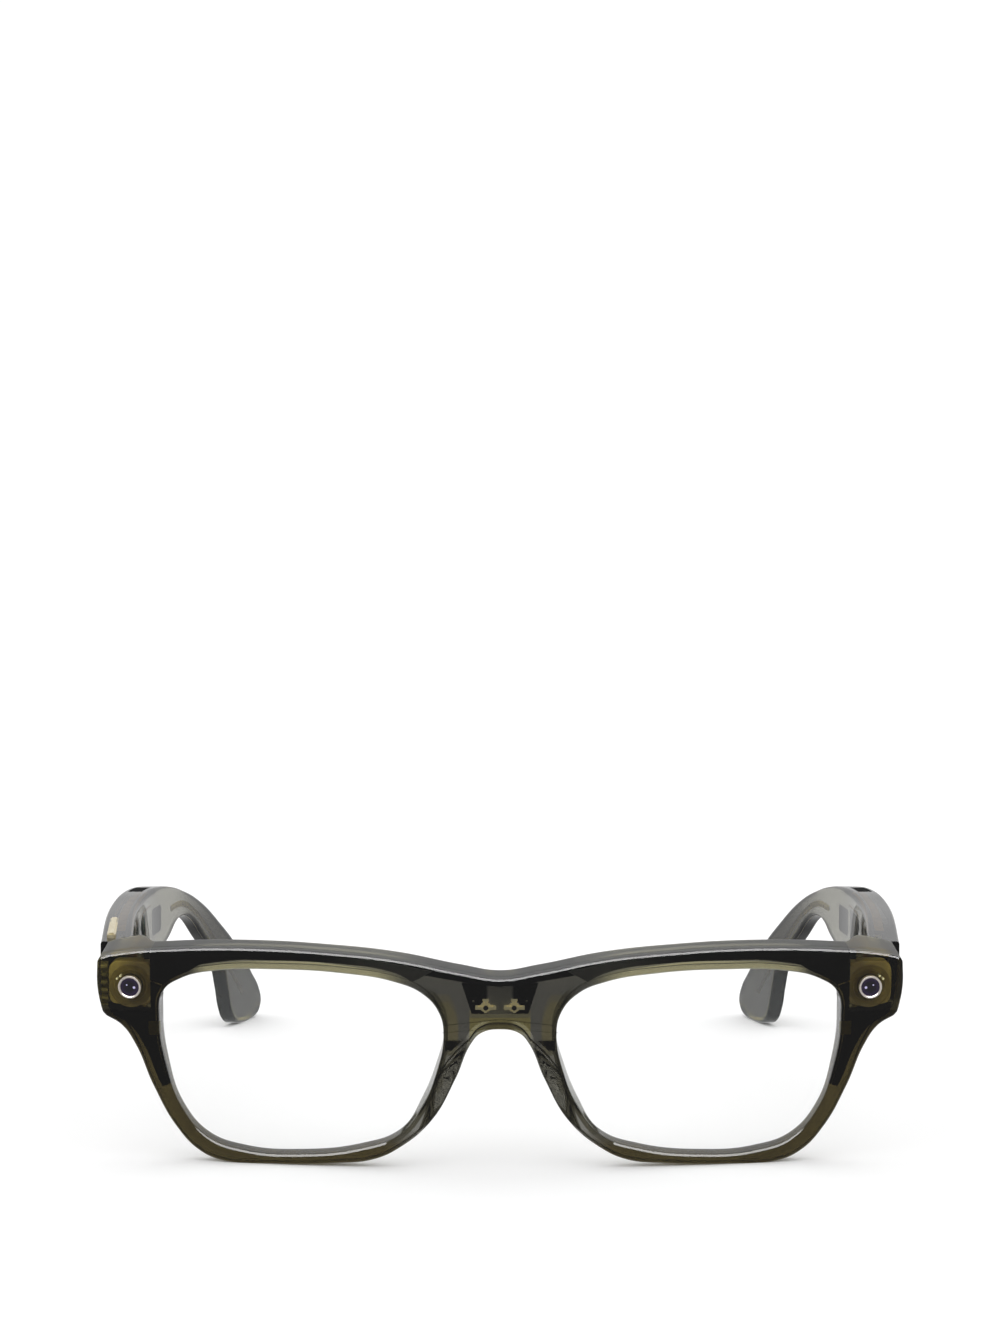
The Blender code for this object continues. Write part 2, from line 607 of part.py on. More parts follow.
def make_right_only(shell):
    """Capture button, its dome, the main board with its shield, and the touch sensor."""
    slot = arm_block("button_slot", (18.6, 41.4), (36, 45), (2.8, 5.0))
    button = arm_block("button", (19, 41), (38.7, 40.3), (3.1, 4.7), "rose_gold", 0.3)
    dome = arm_block("dome", (28, 32), (37.4, 38.2), (3.0, 3.9), "steel", 0.15)
    board = arm_block("board", (30, 72), (29.6, 36.5), (1.75, 2.35), "board_green")
    shield = arm_block("shield", (38, 64), (30.2, 36.0), (2.65, 3.4), "steel", 0.2)
    touch = arm_strip("touch", (38, 74), (30, 36.5), (3.95, 4.15), "flex_film")
    combine(shell, mirror_copy_cutter(slot))
    names = {button: "capture_button", dome: "capture_button_dome", board: "main_board",
             shield: "board_shield", touch: "touch_sensor"}
    for part, name in names.items():
        mirror_copy(part, name)
        bpy.data.objects.remove(part)


def mirror_copy_cutter(cutter):
    """The cutter's mirror image, which takes its place."""
    shape = bmesh.new()
    shape.from_mesh(cutter.data)
    bmesh.ops.scale(shape, vec=(-1, 1, 1), verts=shape.verts)
    bmesh.ops.reverse_faces(shape, faces=shape.faces)
    bpy.data.objects.remove(cutter)
    return from_bmesh(shape, "mirrored_cutter")


# ---- Parents: each moving body hangs from an empty on its joint's axis

RIGHT_TEMPLE = ["right_temple_shell", "right_temple_cover", "right_temple_hinge", "right_temple_flex",
                "right_speaker", "right_speaker_vent", "right_tip_core", "capture_button_dome",
                "main_board", "board_shield", "touch_sensor"]
LEFT_TEMPLE = ["left_temple_shell", "left_temple_cover", "left_temple_hinge", "left_temple_flex",
               "left_speaker", "left_speaker_vent", "left_tip_core", "left_battery",
               "power_switch_body"]


def add_empty(name, place, parent=None):
    """An empty at a place in the world, under a parent empty that isn't turned."""
    empty = bpy.data.objects.new(name, None)
    PARTS.objects.link(empty)
    empty.location = place - (Vector(parent["place"]) if parent else Vector())
    empty["place"] = place
    empty.parent = parent
    return empty


def hang(names, empty):
    """Parent parts to an empty, and count their meshes from it."""
    away = Matrix.Translation(-Vector(empty["place"]))
    for name in names:
        part = bpy.data.objects[name]
        part.data.transform(away)
        part.parent = empty


def middle_of_length(names):
    lengths = [vert.co.y for name in names for vert in bpy.data.objects[name].data.vertices]
    return (min(lengths) + max(lengths)) / 2


def centre_of(name):
    corners = [vert.co for vert in bpy.data.objects[name].data.vertices]
    return sum(corners, Vector()) / len(corners)


def set_parents():
    """Hang every part from its body, and set the model's middle over the origin."""
    names = [part.name for part in PARTS.objects]
    middle = middle_of_length(names)
    pivot = Vector((*PIVOT, (KNUCKLES[0][0] + KNUCKLES[1][1]) / 2 * MM))
    front = add_empty("front_axis", Vector())
    right = add_empty("right_temple_axis", Vector((-pivot.x, pivot.y, pivot.z)), front)
    left = add_empty("left_temple_axis", pivot, front)
    button = add_empty("capture_button_axis", centre_of("capture_button"), right)
    switch = add_empty("power_switch_axis", centre_of("power_switch"), left)
    hang(RIGHT_TEMPLE, right)
    hang(LEFT_TEMPLE, left)
    hang(["capture_button"], button)
    hang(["power_switch"], switch)
    moving = [*RIGHT_TEMPLE, *LEFT_TEMPLE, "capture_button", "power_switch"]
    hang([name for name in names if name not in moving], front)
    front.location.y = -middle


def main():
    front, rear = make_front()
    make_lenses()
    make_front_electronics()
    make_bridge(rear)
    make_eye_modules(front, rear)
    for part in make_hinge(rear):
        mirror_copy(part, part.name.replace("left", "right"))
    make_temples()
    set_parents()


main()
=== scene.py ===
import json
import math
import bmesh
import bpy
import numpy as np
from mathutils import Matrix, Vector


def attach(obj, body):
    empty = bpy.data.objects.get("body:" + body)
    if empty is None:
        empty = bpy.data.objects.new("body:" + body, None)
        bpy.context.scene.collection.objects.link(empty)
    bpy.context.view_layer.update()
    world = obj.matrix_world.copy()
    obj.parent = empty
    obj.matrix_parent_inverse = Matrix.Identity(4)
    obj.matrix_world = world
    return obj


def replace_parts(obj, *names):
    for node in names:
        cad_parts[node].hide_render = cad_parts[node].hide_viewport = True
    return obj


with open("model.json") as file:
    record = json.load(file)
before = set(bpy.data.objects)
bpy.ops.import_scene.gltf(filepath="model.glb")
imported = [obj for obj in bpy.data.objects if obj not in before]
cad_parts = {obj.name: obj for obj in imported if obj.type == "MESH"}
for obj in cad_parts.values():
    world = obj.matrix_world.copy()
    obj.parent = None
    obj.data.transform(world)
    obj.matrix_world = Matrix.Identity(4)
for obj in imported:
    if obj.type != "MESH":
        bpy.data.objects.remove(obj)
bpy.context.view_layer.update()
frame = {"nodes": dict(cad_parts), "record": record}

mm = 0.001
print("frame loaded,", len(frame["nodes"]), "nodes")


# Shader maths: a Wire is a socket, and Python's operators on it add Math nodes

class Wire:
    def __init__(self, finish, socket):
        self.finish = finish
        self.socket = socket

    def maths(self, operation, *values):
        return self.finish.node("ShaderNodeMath", {"operation": operation}, dict(enumerate(values)))

    def __add__(self, other):
        return self.maths("ADD", self, other)

    def __radd__(self, other):
        return self.maths("ADD", other, self)

    def __sub__(self, other):
        return self.maths("SUBTRACT", self, other)

    def __rsub__(self, other):
        return self.maths("SUBTRACT", other, self)

    def __mul__(self, other):
        return self.maths("MULTIPLY", self, other)

    def __rmul__(self, other):
        return self.maths("MULTIPLY", other, self)

    def __abs__(self):
        return self.maths("ABSOLUTE", self)

    def ramp(self, low, high):    # 0 below low, 1 above high; falls where low is above high
        if low > high:
            return 1 - self.ramp(high, low)
        return self.finish.node("ShaderNodeMapRange", {"interpolation_type": "SMOOTHSTEP"},
                                {"Value": self, "From Min": low, "From Max": high})


class Finish:
    def __init__(self, name, **constants):
        self.material = bpy.data.materials.new(name)
        self.material.use_nodes = True
        self.tree = self.material.node_tree
        self.shader = self.tree.nodes["Principled BSDF"]
        for socket, value in constants.items():
            self.shader.inputs[socket.replace("_", " ")].default_value = value

    def node(self, kind, settings, values, output=0):
        made = self.tree.nodes.new(kind)
        for name, value in settings.items():
            setattr(made, name, value)
        for name, value in values.items():
            if isinstance(value, Wire):
                self.tree.links.new(value.socket, made.inputs[name])
            else:
                made.inputs[name].default_value = value
        return Wire(self, made.outputs[output])

    def place(self):    # Object coordinates in millimetres, as three wires
        spot = self.node("ShaderNodeTexCoord", {}, {}, "Object")
        big = self.node("ShaderNodeVectorMath", {"operation": "SCALE"}, {0: spot, "Scale": 1000})
        return [self.node("ShaderNodeSeparateXYZ", {}, {0: big}, axis) for axis in range(3)]

    def noise(self, scale, detail=3.0):    # scale counts bumps per metre
        spot = self.node("ShaderNodeTexCoord", {}, {}, "Object")
        return self.node("ShaderNodeTexNoise", {}, {"Vector": spot, "Scale": scale, "Detail": detail})

    def blend(self, share, colourA, colourB):    # colour B where the share is 1
        wires = {"Factor": share, 6: self.rgba(colourA), 7: self.rgba(colourB)}
        return self.node("ShaderNodeMix", {"data_type": "RGBA"}, wires, 2)

    def rgba(self, colour):
        return colour if isinstance(colour, Wire) else (*colour, 1.0)

    def measure(self, name):    # a number that the mesh carries at each point
        return self.node("ShaderNodeAttribute", {"attribute_name": name}, {}, "Fac")

    def bump(self, height, distance, strength=1.0):
        values = {"Height": height, "Distance": distance, "Strength": strength}
        self.paint("Normal", self.node("ShaderNodeBump", {}, values))

    def paint(self, socket, wire):
        self.tree.links.new(wire.socket, self.shader.inputs[socket])

    def absorb(self, colour, density):    # the resin darkens light along its way through
        soak = self.tree.nodes.new("ShaderNodeVolumeAbsorption")
        soak.inputs["Color"].default_value = (*colour, 1)
        soak.inputs["Density"].default_value = density
        self.tree.links.new(soak.outputs[0], self.tree.nodes["Material Output"].inputs["Volume"])


# Shapes

def smoothLine(points, closed=False, steps=10):
    # Cubic stretches through the points: each handle follows the mean direction of the two sides,
    # its length is the side's length divided by 2.5614, and a corner's handle is a third of its side
    flat = np.array([point[:2] for point in points], float)
    corner = np.array([len(point) > 2 for point in points])
    after = np.roll(flat, -1, axis=0) - flat
    before = flat - np.roll(flat, 1, axis=0)
    if not closed:
        after[-1], before[0] = before[-1], after[0]
    sideAfter = np.linalg.norm(after, axis=1, keepdims=True)
    sideBefore = np.linalg.norm(before, axis=1, keepdims=True)
    lean = after / sideAfter + before / sideBefore
    lean /= np.linalg.norm(lean, axis=1, keepdims=True)
    goOut = np.where(corner[:, None], after / 3, lean * sideAfter / 2.5614)
    comeIn = np.where(corner[:, None], before / 3, lean * sideBefore / 2.5614)
    ends = np.roll(flat, -1, axis=0)
    comeIn = np.roll(comeIn, -1, axis=0)
    t = np.linspace(0, 1, steps, endpoint=False)[None, :, None]
    a, b, c, d = (item[:, None, :] for item in (flat, flat + goOut, ends - comeIn, ends))
    curve = a * (1 - t) ** 3 + 3 * b * t * (1 - t) ** 2 + 3 * c * t * t * (1 - t) + d * t ** 3
    if closed:
        return curve.reshape(-1, 2)
    return np.concatenate([curve[:-1].reshape(-1, 2), flat[-1:]])


def lengthAlong(line):
    return np.concatenate([[0], np.cumsum(np.linalg.norm(np.diff(line, axis=0), axis=1))])


def spread(line, count):    # the line's points at even steps of its length
    run = lengthAlong(line)
    at = np.linspace(run[0], run[-1], count)
    return np.stack([np.interp(at, run, line[:, axis]) for axis in range(line.shape[1])], axis=1)


def flipped(points):
    return [(-point[0], *point[1:]) for point in reversed(points)]


def smooth(value, low, high):
    share = np.clip((value - low) / (high - low), 0, 1)
    return share * share * (3 - 2 * share)


def sheetFaces(rows, columns, closeRows, closeColumns):
    # Quads of a grid of points, numbered row by row, joined up where it is closed
    down = np.arange(rows if closeRows else rows - 1)
    across = np.arange(columns if closeColumns else columns - 1)
    i, j = (item.ravel() for item in np.meshgrid(down, across, indexing="ij"))
    nextI, nextJ = (i + 1) % rows, (j + 1) % columns
    here, below = i * columns, nextI * columns
    return np.stack([here + j, here + nextJ, below + nextJ, below + j], 1)


def makePiece(name, points, faces, finish, body, crease=40, measures=None):
    # A mesh piece from a list of points and faces: doubles are merged, and faces turned outwards.
    # A measure is one number for each point, which the finish may read
    mesh = bpy.data.meshes.new(name)
    mesh.from_pydata(points.reshape(-1, 3).tolist(), [], [list(face) for face in faces])
    for key, values in (measures or {}).items():
        mesh.attributes.new(key, "FLOAT", "POINT").data.foreach_set("value", values.astype(np.float32))
    shape = bmesh.new()
    shape.from_mesh(mesh)
    bmesh.ops.remove_doubles(shape, verts=shape.verts, dist=0.002 * mm)
    bmesh.ops.dissolve_degenerate(shape, edges=shape.edges, dist=0.0005 * mm)
    bmesh.ops.recalc_face_normals(shape, faces=shape.faces)
    shape.to_mesh(mesh)
    shape.free()
    mesh.shade_smooth()
    mesh.set_sharp_from_angle(angle=math.radians(crease))
    mesh.materials.append(finish.material)
    piece = bpy.data.objects.new(name, mesh)
    bpy.context.scene.collection.objects.link(piece)
    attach(piece, body)
    return piece


def turnedPoints(profile, frameMatrix, sides=64):
    # A profile of radius and height carried round the local Z axis of a frame
    radius, height = np.array(profile, float).T * mm
    angle = np.linspace(0, 2 * np.pi, sides, endpoint=False)
    local = np.stack([np.outer(radius, np.cos(angle)), np.outer(radius, np.sin(angle)),
                      np.repeat(height[:, None], sides, axis=1), np.ones((len(radius), sides))], axis=2)
    return (local @ frameMatrix.T)[:, :, :3]


def turnedPiece(name, profile, frameMatrix, finish, body, sides=64, crease=40):
    # A turned piece: the profile starts and ends on the axis, or closes on itself as a ring
    points = turnedPoints(profile, frameMatrix, sides)
    ring = profile[0][0] > 0
    faces = sheetFaces(len(profile), sides, ring, True)
    return makePiece(name, points, faces, finish, body, crease)


# The front's pattern, curved round the face and tilted as the frame is

frontSizes = {
    "wrapRadius": 260, "endStart": 54, "endFlatten": 0.00606, "tilt": 7, "lift": -0.07, "shift": -76.335,
    "browDepth": 6.9, "rimDepth": 3.6, "endFace": 15.0, "columns": 620, "bridgeColumns": 16,
    "frontRound": 0.38, "openingRound": 0.42, "rearRound": 0.6, "seamDepth": 2.15, "seamCut": 0.025,
    "centre": (-36, 24), "padReach": 4.6, "padSplay": 2.6, "faceRows": 26, "rearRows": 24,
    "wallRows": 6, "holeRows": 5, "turnWeight": 15, "seamHalf": 0.12, "seamFloor": 0.04}
tilt = math.radians(frontSizes["tilt"])
frontOutline = [
    (0, 35.5), (-7.2, 36.6), (-18.7, 38.8), (-32, 39.9), (-45.2, 40.1), (-60, 39.2),
    (-71.5, 37.8), (-73.2, 37.3, "corner"), (-73.6, 36.6, "corner"), (-73.7, 32), (-73.1, 28.2),
    (-72.8, 27.1, "corner"), (-72.2, 26.4, "corner"), (-69.3, 24.6), (-66.9, 21.1), (-63.7, 13.3),
    (-59.5, 5.6), (-55.3, 1.3),
    (-50.6, -0.45), (-42, -0.45), (-30, 0.3), (-23.1, 1.3), (-18.7, 3.4), (-12.4, 9),
    (-8, 17), (-5.1, 23.7), (-3.4, 25.5), (0, 26.2)]
lensOutline = [
    (-37, 1.65), (-47, 1.9), (-53.8, 4), (-58.4, 9.2), (-61.2, 17), (-62.4, 26), (-61.6, 31.2),
    (-58.3, 33.8), (-52, 35.6), (-40.5, 36.45), (-28, 36.15), (-19, 34.8), (-14, 32.7), (-11, 29.2),
    (-10.2, 25), (-11.6, 17.6), (-14.3, 11.2), (-18.5, 6), (-25, 3.4)]


def wrap(x):
    # x squared over twice the wrap radius, less a square law that flattens the ends, in mm
    past = np.maximum(0, np.abs(x) - frontSizes["endStart"])
    return x * x / (2 * frontSizes["wrapRadius"]) - frontSizes["endFlatten"] * past ** 2


def onFront(x, depth, height):
    # Pattern millimetres to metres in the frame: wrap, turn about X by the tilt, lift and shift
    y = depth + wrap(x)
    back = y * math.cos(tilt) - height * math.sin(tilt)
    up = height * math.cos(tilt) + y * math.sin(tilt) + frontSizes["lift"]
    return np.stack(np.broadcast_arrays(x, back + frontSizes["shift"], up), axis=-1) * mm


def frontFrame(x, depth, height):
    # A frame on the front: local Z points out of the front face and local Y up
    step = 0.5
    slope = wrap(abs(x) + step) - wrap(abs(x) - step)
    turn = math.copysign(math.atan(slope), x)
    across = np.array([math.cos(turn), math.sin(turn), 0])
    out = np.array([math.sin(turn), -math.cos(turn), 0])
    lean = np.array([[1, 0, 0], [0, math.cos(tilt), -math.sin(tilt)], [0, math.sin(tilt), math.cos(tilt)]])
    matrix = np.eye(4)
    matrix[:3, 0] = lean @ across
    matrix[:3, 1] = lean @ np.array([0, 0, 1])
    matrix[:3, 2] = lean @ out
    matrix[:3, 3] = onFront(np.float64(x), depth, height)
    return matrix


def plainFinish(name, dark, light, scale, roughness, metallic=0.0, grain=0.0, shine=0.5):
    finish = Finish(name, Metallic=metallic, Specular_IOR_Level=shine)
    cloud = finish.noise(scale, 3)
    finish.paint("Base Color", finish.blend(cloud.ramp(0.3, 0.7), dark, light))
    finish.paint("Roughness", cloud * 0.12 + (roughness - 0.06))
    if grain:
        finish.bump(finish.noise(scale * 6, 2), grain * mm, 0.6)
    return finish


# Resin: clear and glossy, darkened by depth, with a tint that changes over the piece

resinSizes = {"soak": (0.12, 0.1, 0.0), "density": 190, "gloss": 0.02}


def resinFinish(name):
    finish = Finish(name, Roughness=resinSizes["gloss"], Transmission_Weight=1.0, IOR=1.5)
    finish.absorb(resinSizes["soak"], resinSizes["density"])
    return finish


def frontResin():
    finish = resinFinish("smokeResinFront")
    x, y, z = finish.place()
    back = y - frontSizes["shift"]
    height = z * math.cos(tilt) - back * math.sin(tilt)
    side = abs(x)
    fromOpening = finish.measure("fromOpening")
    fromEdge = finish.measure("fromEdge")
    cloud = finish.noise(90, 2)
    olive = finish.blend(cloud, (0.075, 0.058, 0.02), (0.11, 0.088, 0.035))
    smoke = finish.blend(cloud, (0.13, 0.13, 0.13), (0.165, 0.162, 0.155))
    nose = side.ramp(27, 17) * height.ramp(2, 9)
    tint = finish.blend(nose, olive, smoke)
    pad = height.ramp(22.2, 21) * height.ramp(3, 9) * side.ramp(23, 17)
    tint = finish.blend(pad, tint, (0.38, 0.38, 0.37))
    patch = fromOpening.ramp(2.9, 2.5) * height.ramp(21, 21.6) * height.ramp(31.6, 31) * side.ramp(15.5, 15)
    tint = finish.blend(patch, tint, (0.2, 0.18, 0.11))
    brow = height.ramp(33.0, 36.5) * side.ramp(62, 58) * side.ramp(6, 9)
    tint = finish.blend(brow, tint, (0.17, 0.17, 0.155))
    band = fromOpening.ramp(1.8, 1.6) * height.ramp(33, 34.5) * side.ramp(57, 53) * side.ramp(15, 24)
    tint = finish.blend(band, tint, (0.86, 0.82, 0.55))
    # darker along the opening's edge on the nose side: painted shade on the bevel and inner wall
    openingEdgeShade = fromOpening.ramp(0.95, 0.75) * side.ramp(27, 22) * height.ramp(33.5, 31) * height.ramp(3, 7)
    tint = finish.blend(openingEdgeShade, tint, (0.05, 0.045, 0.025))
    strip = side.ramp(5.6, 5.4) * height.ramp(28.5, 28.3)
    tint = finish.blend(strip, tint, (0.26, 0.23, 0.1))
    # pale crescents at the arch shoulders by the front edge: a painted highlight, with the resin tinted
    # nearly clear there
    archHighlight = fromEdge.ramp(0.95, 0.6) * side.ramp(6.3, 5.6) * side.ramp(1.6, 3.4) * height.ramp(28.5, 27.5)
    tint = finish.blend(archHighlight, tint, (1.0, 1.0, 0.85))
    window = side.ramp(63.6, 63.9) * height.ramp(27.2, 27.8)
    tint = finish.blend(window, tint, (0.84, 0.78, 0.5))
    finish.paint("Base Color", tint)
    wear = finish.noise(900, 4)
    finish.paint("Roughness", wear.ramp(0.45, 0.8) * 0.03 + 0.015 + fromEdge.ramp(0.1, 0.0) * 0.3)
    return finish


def polar(line, centre):
    # Angles round a centre, rising, and distances from it
    away = line - centre
    return np.unwrap(np.arctan2(away[:, 1], away[:, 0])), np.hypot(away[:, 0], away[:, 1])


def rearDepth(x, height):
    # How deep the front is: the rims are thinner at the bottom, and the end blocks reach the hinge face
    extra = frontSizes["browDepth"] - frontSizes["rimDepth"]
    depth = frontSizes["rimDepth"] + extra * smooth(height, 8, 30)
    flat = (frontSizes["endFace"] + height * math.sin(tilt)) / math.cos(tilt) - wrap(x)
    block = smooth(np.abs(x), 63.6, 67.2) * smooth(height, 25.6, 27.6)
    return depth + (flat - depth) * block


# A polished edge, from the face to the wall: two small rounds with a nearly flat band between them
chamfer = [(0, 0), (0.1, 0.02), (0.2, 0.09), (0.38, 0.25), (0.55, 0.42), (0.75, 0.62), (0.91, 0.8),
           (0.98, 0.9), (1, 1)]


def padLift(x, height):
    # How far the moulded nose pads swell: a smooth hump over an oval beside the nose
    along = (height - 15.0) / 8.4
    return np.clip(1 - along * along, 0, 1) ** 1.25 * smooth(-np.abs(x), -18.5, -14.5)


def makeFrontHalf():
    # The half ring round one opening: columns run round it, and rows go over the front face,
    # round the outer edge, over the rear face and back through the opening
    centre = np.array(frontSizes["centre"], float)
    outline = frontOutline + flipped(frontOutline[1:-1])
    dense = smoothLine(outline, closed=True, steps=24)
    slope = np.roll(dense, -1, axis=0) - np.roll(dense, 1, axis=0)
    inward = np.stack([-slope[:, 1], slope[:, 0]], axis=1)
    inward /= np.linalg.norm(inward, axis=1, keepdims=True)
    half = (len(frontOutline) - 1) * 24 + 1
    outer, outerIn = dense[:half], inward[:half]
    angle = polar(outer, centre)[0]
    measure = lengthAlong(outer) + frontSizes["turnWeight"] * (angle - angle[0])
    columns = frontSizes["columns"]
    at = np.linspace(measure[0], measure[-1], columns)
    rim = np.stack([np.interp(at, measure, outer[:, axis]) for axis in (0, 1)], axis=1)
    rimIn = np.stack([np.interp(at, measure, outerIn[:, axis]) for axis in (0, 1)], axis=1)
    turn = np.interp(at, measure, angle)
    cut = np.linspace(turn[-1], turn[0] + 2 * np.pi, frontSizes["bridgeColumns"] + 2)[1:-1]
    cutRim = np.stack([np.zeros(len(cut)), centre[1] - centre[0] * np.tan(cut)], axis=1)
    rim = np.concatenate([rim, cutRim])
    rimIn = np.concatenate([rimIn, np.zeros_like(cutRim)])
    turn = np.concatenate([turn, cut])

    opening = smoothLine(lensOutline, closed=True, steps=24)
    openAngle, openReach = polar(opening, centre)
    if openAngle[-1] < openAngle[0]:
        opening, openAngle, openReach = opening[::-1], openAngle[::-1], openReach[::-1]
    loopAngle = np.concatenate([openAngle + around * 2 * np.pi for around in (-1, 0, 1, 2)])
    edge = np.interp(turn, loopAngle, np.tile(openReach, 4))
    away = np.stack([np.cos(turn), np.sin(turn)], axis=1)
    hole = centre + away * edge[:, None]
    holeSlope = np.roll(hole, -1, axis=0) - np.roll(hole, 1, axis=0)
    holeOut = np.stack([holeSlope[:, 1], -holeSlope[:, 0]], axis=1)
    holeOut /= np.linalg.norm(holeOut, axis=1, keepdims=True)

    rows = []    # each row: points across the columns and their depth

    def addRow(flat, depth):
        depth = np.broadcast_to(depth, (len(flat),))
        rows.append(np.column_stack([flat[:, 0], depth, flat[:, 1]]))

    frontRound, openRound = frontSizes["frontRound"], frontSizes["openingRound"]
    rearRound = frontSizes["rearRound"]
    isCut = np.arange(len(turn)) >= columns
    rimFace = rim + rimIn * frontRound
    holeFace = hole + holeOut * openRound
    for share in np.linspace(0, 1, frontSizes["faceRows"]):    # the front face
        addRow(holeFace + (rimFace - holeFace) * share, 0.0)
    frontFaceRows = len(rows)
    for aside, deep in chamfer[1:]:    # the polished front edge
        addRow(rim + rimIn * frontRound * (1 - aside), frontRound * deep)
    rearHere = rearDepth(rim[:, 0], rim[:, 1])
    seam, cutIn = frontSizes["seamDepth"], frontSizes["seamCut"]
    wide, floor = frontSizes["seamHalf"], frontSizes["seamFloor"]
    for offset, groove in ((-wide, 0), (-floor, 1), (floor, 1), (wide, 0)):
        addRow(rim + rimIn * cutIn * groove, seam + offset)
    for share in np.linspace(0, 1, frontSizes["wallRows"])[1:]:    # the outer wall
        addRow(rim, seam + wide + (rearHere - rearRound - seam - wide) * share)
    for bend in np.linspace(0, np.pi / 2, 7)[1:]:    # the rounded rear edge
        addRow(rim + rimIn * rearRound * (1 - np.cos(bend)), rearHere - rearRound * (1 - np.sin(bend)))
    rearRim = rim + rimIn * rearRound
    holeRound = rearRound * 0.6
    rearHole = hole + holeOut * holeRound
    rearStart = len(rows)
    for share in np.linspace(0, 1, frontSizes["rearRows"])[1:]:    # the rear face
        flat = rearRim + (rearHole - rearRim) * share
        addRow(flat, rearDepth(flat[:, 0], flat[:, 1]))
    holeDepth = rearDepth(hole[:, 0], hole[:, 1])
    for bend in np.linspace(0, np.pi / 2, 5)[1:]:    # into the opening
        addRow(hole + holeOut * holeRound * (1 - np.sin(bend)),
               holeDepth - holeRound * (1 - np.cos(bend)))
    start = holeDepth - holeRound
    for share in np.linspace(0, 1, frontSizes["holeRows"])[1:]:    # the opening's wall
        addRow(hole, start + (openRound - start) * share)
    for aside, deep in chamfer[-2:0:-1]:    # the opening's polished front edge
        addRow(hole + holeOut * openRound * (1 - aside), openRound * deep)
    grid = np.array(rows)

    # The nose pads: the rear of the rim beside the nose is drawn back and splayed out
    x, depth, height = grid[..., 0], grid[..., 1], grid[..., 2]
    swell = padLift(x, height) * smooth(depth, 1.8, 3.8) * ~isCut[None, :]
    fromOpening = np.hypot(x - hole[None, :, 0], height - hole[None, :, 1])
    noseSide = smooth(fromOpening, 0.2, 3.2)
    grid[..., 0] = x - swell * frontSizes["padSplay"] * noseSide
    grid[..., 1] = depth + swell * frontSizes["padReach"]

    wall = np.zeros(len(rows), bool)
    wall[frontFaceRows - 1:rearStart - 1] = True
    faces = sheetFaces(len(rows), len(turn), True, True)
    row, column = np.divmod(np.arange(len(faces)), len(turn))
    atCut = (column >= columns - 1)
    keep = ~(wall[row] & atCut)
    fromEdge = np.hypot(x - rim[None, :, 0], height - rim[None, :, 1])
    return grid, faces[keep], fromOpening, np.where(isCut[None, :], 9.0, fromEdge)


def makeFront():
    grid, faces, fromOpening, fromEdge = makeFrontHalf()
    flat = grid.reshape(-1, 3)
    other = flat * np.array([-1, 1, 1])
    both = np.concatenate([flat, other])
    bothFaces = np.concatenate([faces, faces[:, ::-1] + len(flat)])
    points = onFront(both[:, 0], both[:, 1], both[:, 2])
    points[:, 2] = np.maximum(points[:, 2], 0)
    measures = {"fromOpening": np.tile(fromOpening.ravel(), 2), "fromEdge": np.tile(fromEdge.ravel(), 2)}
    piece = makePiece("resin_front", points, bothFaces, frontResin(), "front", 60,
                      measures)
    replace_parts(piece, "front_shell", "rear_shell")
    return piece


print("making the front")
frontPiece = makeFront()
print("  front has", len(frontPiece.data.polygons), "faces")


# Lenses: a shallow shell that follows the front and bulges a little forwards

lensSizes = {"front": 1.4, "thickness": 1.5, "hold": 0.6, "bulge": 0.5, "rings": 14}


def lensFinish():
    finish = Finish("clearLens", Roughness=0.01, IOR=1.5)
    finish.shader.inputs["Base Color"].default_value = (0.92, 0.95, 0.95, 1)
    facing = finish.node("ShaderNodeLayerWeight", {}, {"Blend": 0.3}, "Fresnel")
    dust = finish.noise(400, 3)
    finish.paint("Alpha", facing * 0.5 + dust.ramp(0.6, 0.9) * 0.01 + 0.012)
    return finish


def makeLens(name, sign, finish):
    # Rings shrink towards the middle of the opening; depth falls with the square of the distance
    centre = np.array(frontSizes["centre"], float)
    edge = spread(np.concatenate([smoothLine(lensOutline, True), [lensOutline[0][:2]]]), 181)[:-1]
    grow = 1 + lensSizes["hold"] / np.linalg.norm(edge - centre, axis=1, keepdims=True)
    edge = centre + (edge - centre) * grow
    share = np.linspace(0, 1, lensSizes["rings"])[:, None, None]
    flat = centre + (edge - centre) * share
    bulge = lensSizes["bulge"] * (1 - share[..., 0] ** 2)
    layers = []
    for depth in (lensSizes["front"] - bulge, lensSizes["front"] + lensSizes["thickness"] - bulge):
        depth = np.broadcast_to(depth, flat.shape[:2])
        layers.append(onFront(sign * -flat[..., 0], depth, flat[..., 1]))
    points = np.concatenate([layers[0], layers[1][::-1]])
    faces = sheetFaces(len(points), flat.shape[1], False, True)
    return makePiece(name, points, faces, finish, "front", 50)


clearFinish = lensFinish()
for sign, side in ((-1, "right"), (1, "left")):
    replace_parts(makeLens(f"{side}_clear_lens", sign, clearFinish), f"{side}_lens")
print("made the lenses")


# Temples: a section carried along the hooked outline, then bowed round the head

templeSizes = {
    "thickness": 5.8, "tipTaper": 0.42, "round": 1.3, "startRound": 0.6, "outerRound": 0.55,
    "seam": 1.38, "seamCut": 0.03, "coverStart": 19.6, "hingeRoom": 1.5, "sections": 300}
topLine = [
    (15.3, 39.2), (35, 40), (60, 40.4), (78, 40.5), (90, 39.9), (100, 38.7), (108, 37), (121.4, 32.6),
    (134.5, 25.3), (144, 18.6), (152, 11.2), (155.8, 7.2), (157, 4.2), (156.4, 2.2)]
lowLine = [
    (15.3, 28.5), (30, 27.3), (60, 26.1), (84, 26), (93, 26.4), (98.3, 27.7), (104, 30.2), (109, 31),
    (114.5, 29.7), (123, 24.2), (130, 19), (134.7, 14.7), (137.2, 9), (138.7, 4.6), (141.2, 1.4),
    (145.5, 0.15), (150, -0.05), (154.6, 0.7), (156.4, 2.2)]
bowLine = [(15, 68.9), (30, 71), (50, 72.8), (70, 74), (85, 74.2), (95, 73.2), (105, 71.6),
           (120, 68.6), (135, 65), (150, 60.6), (157, 58.1)]
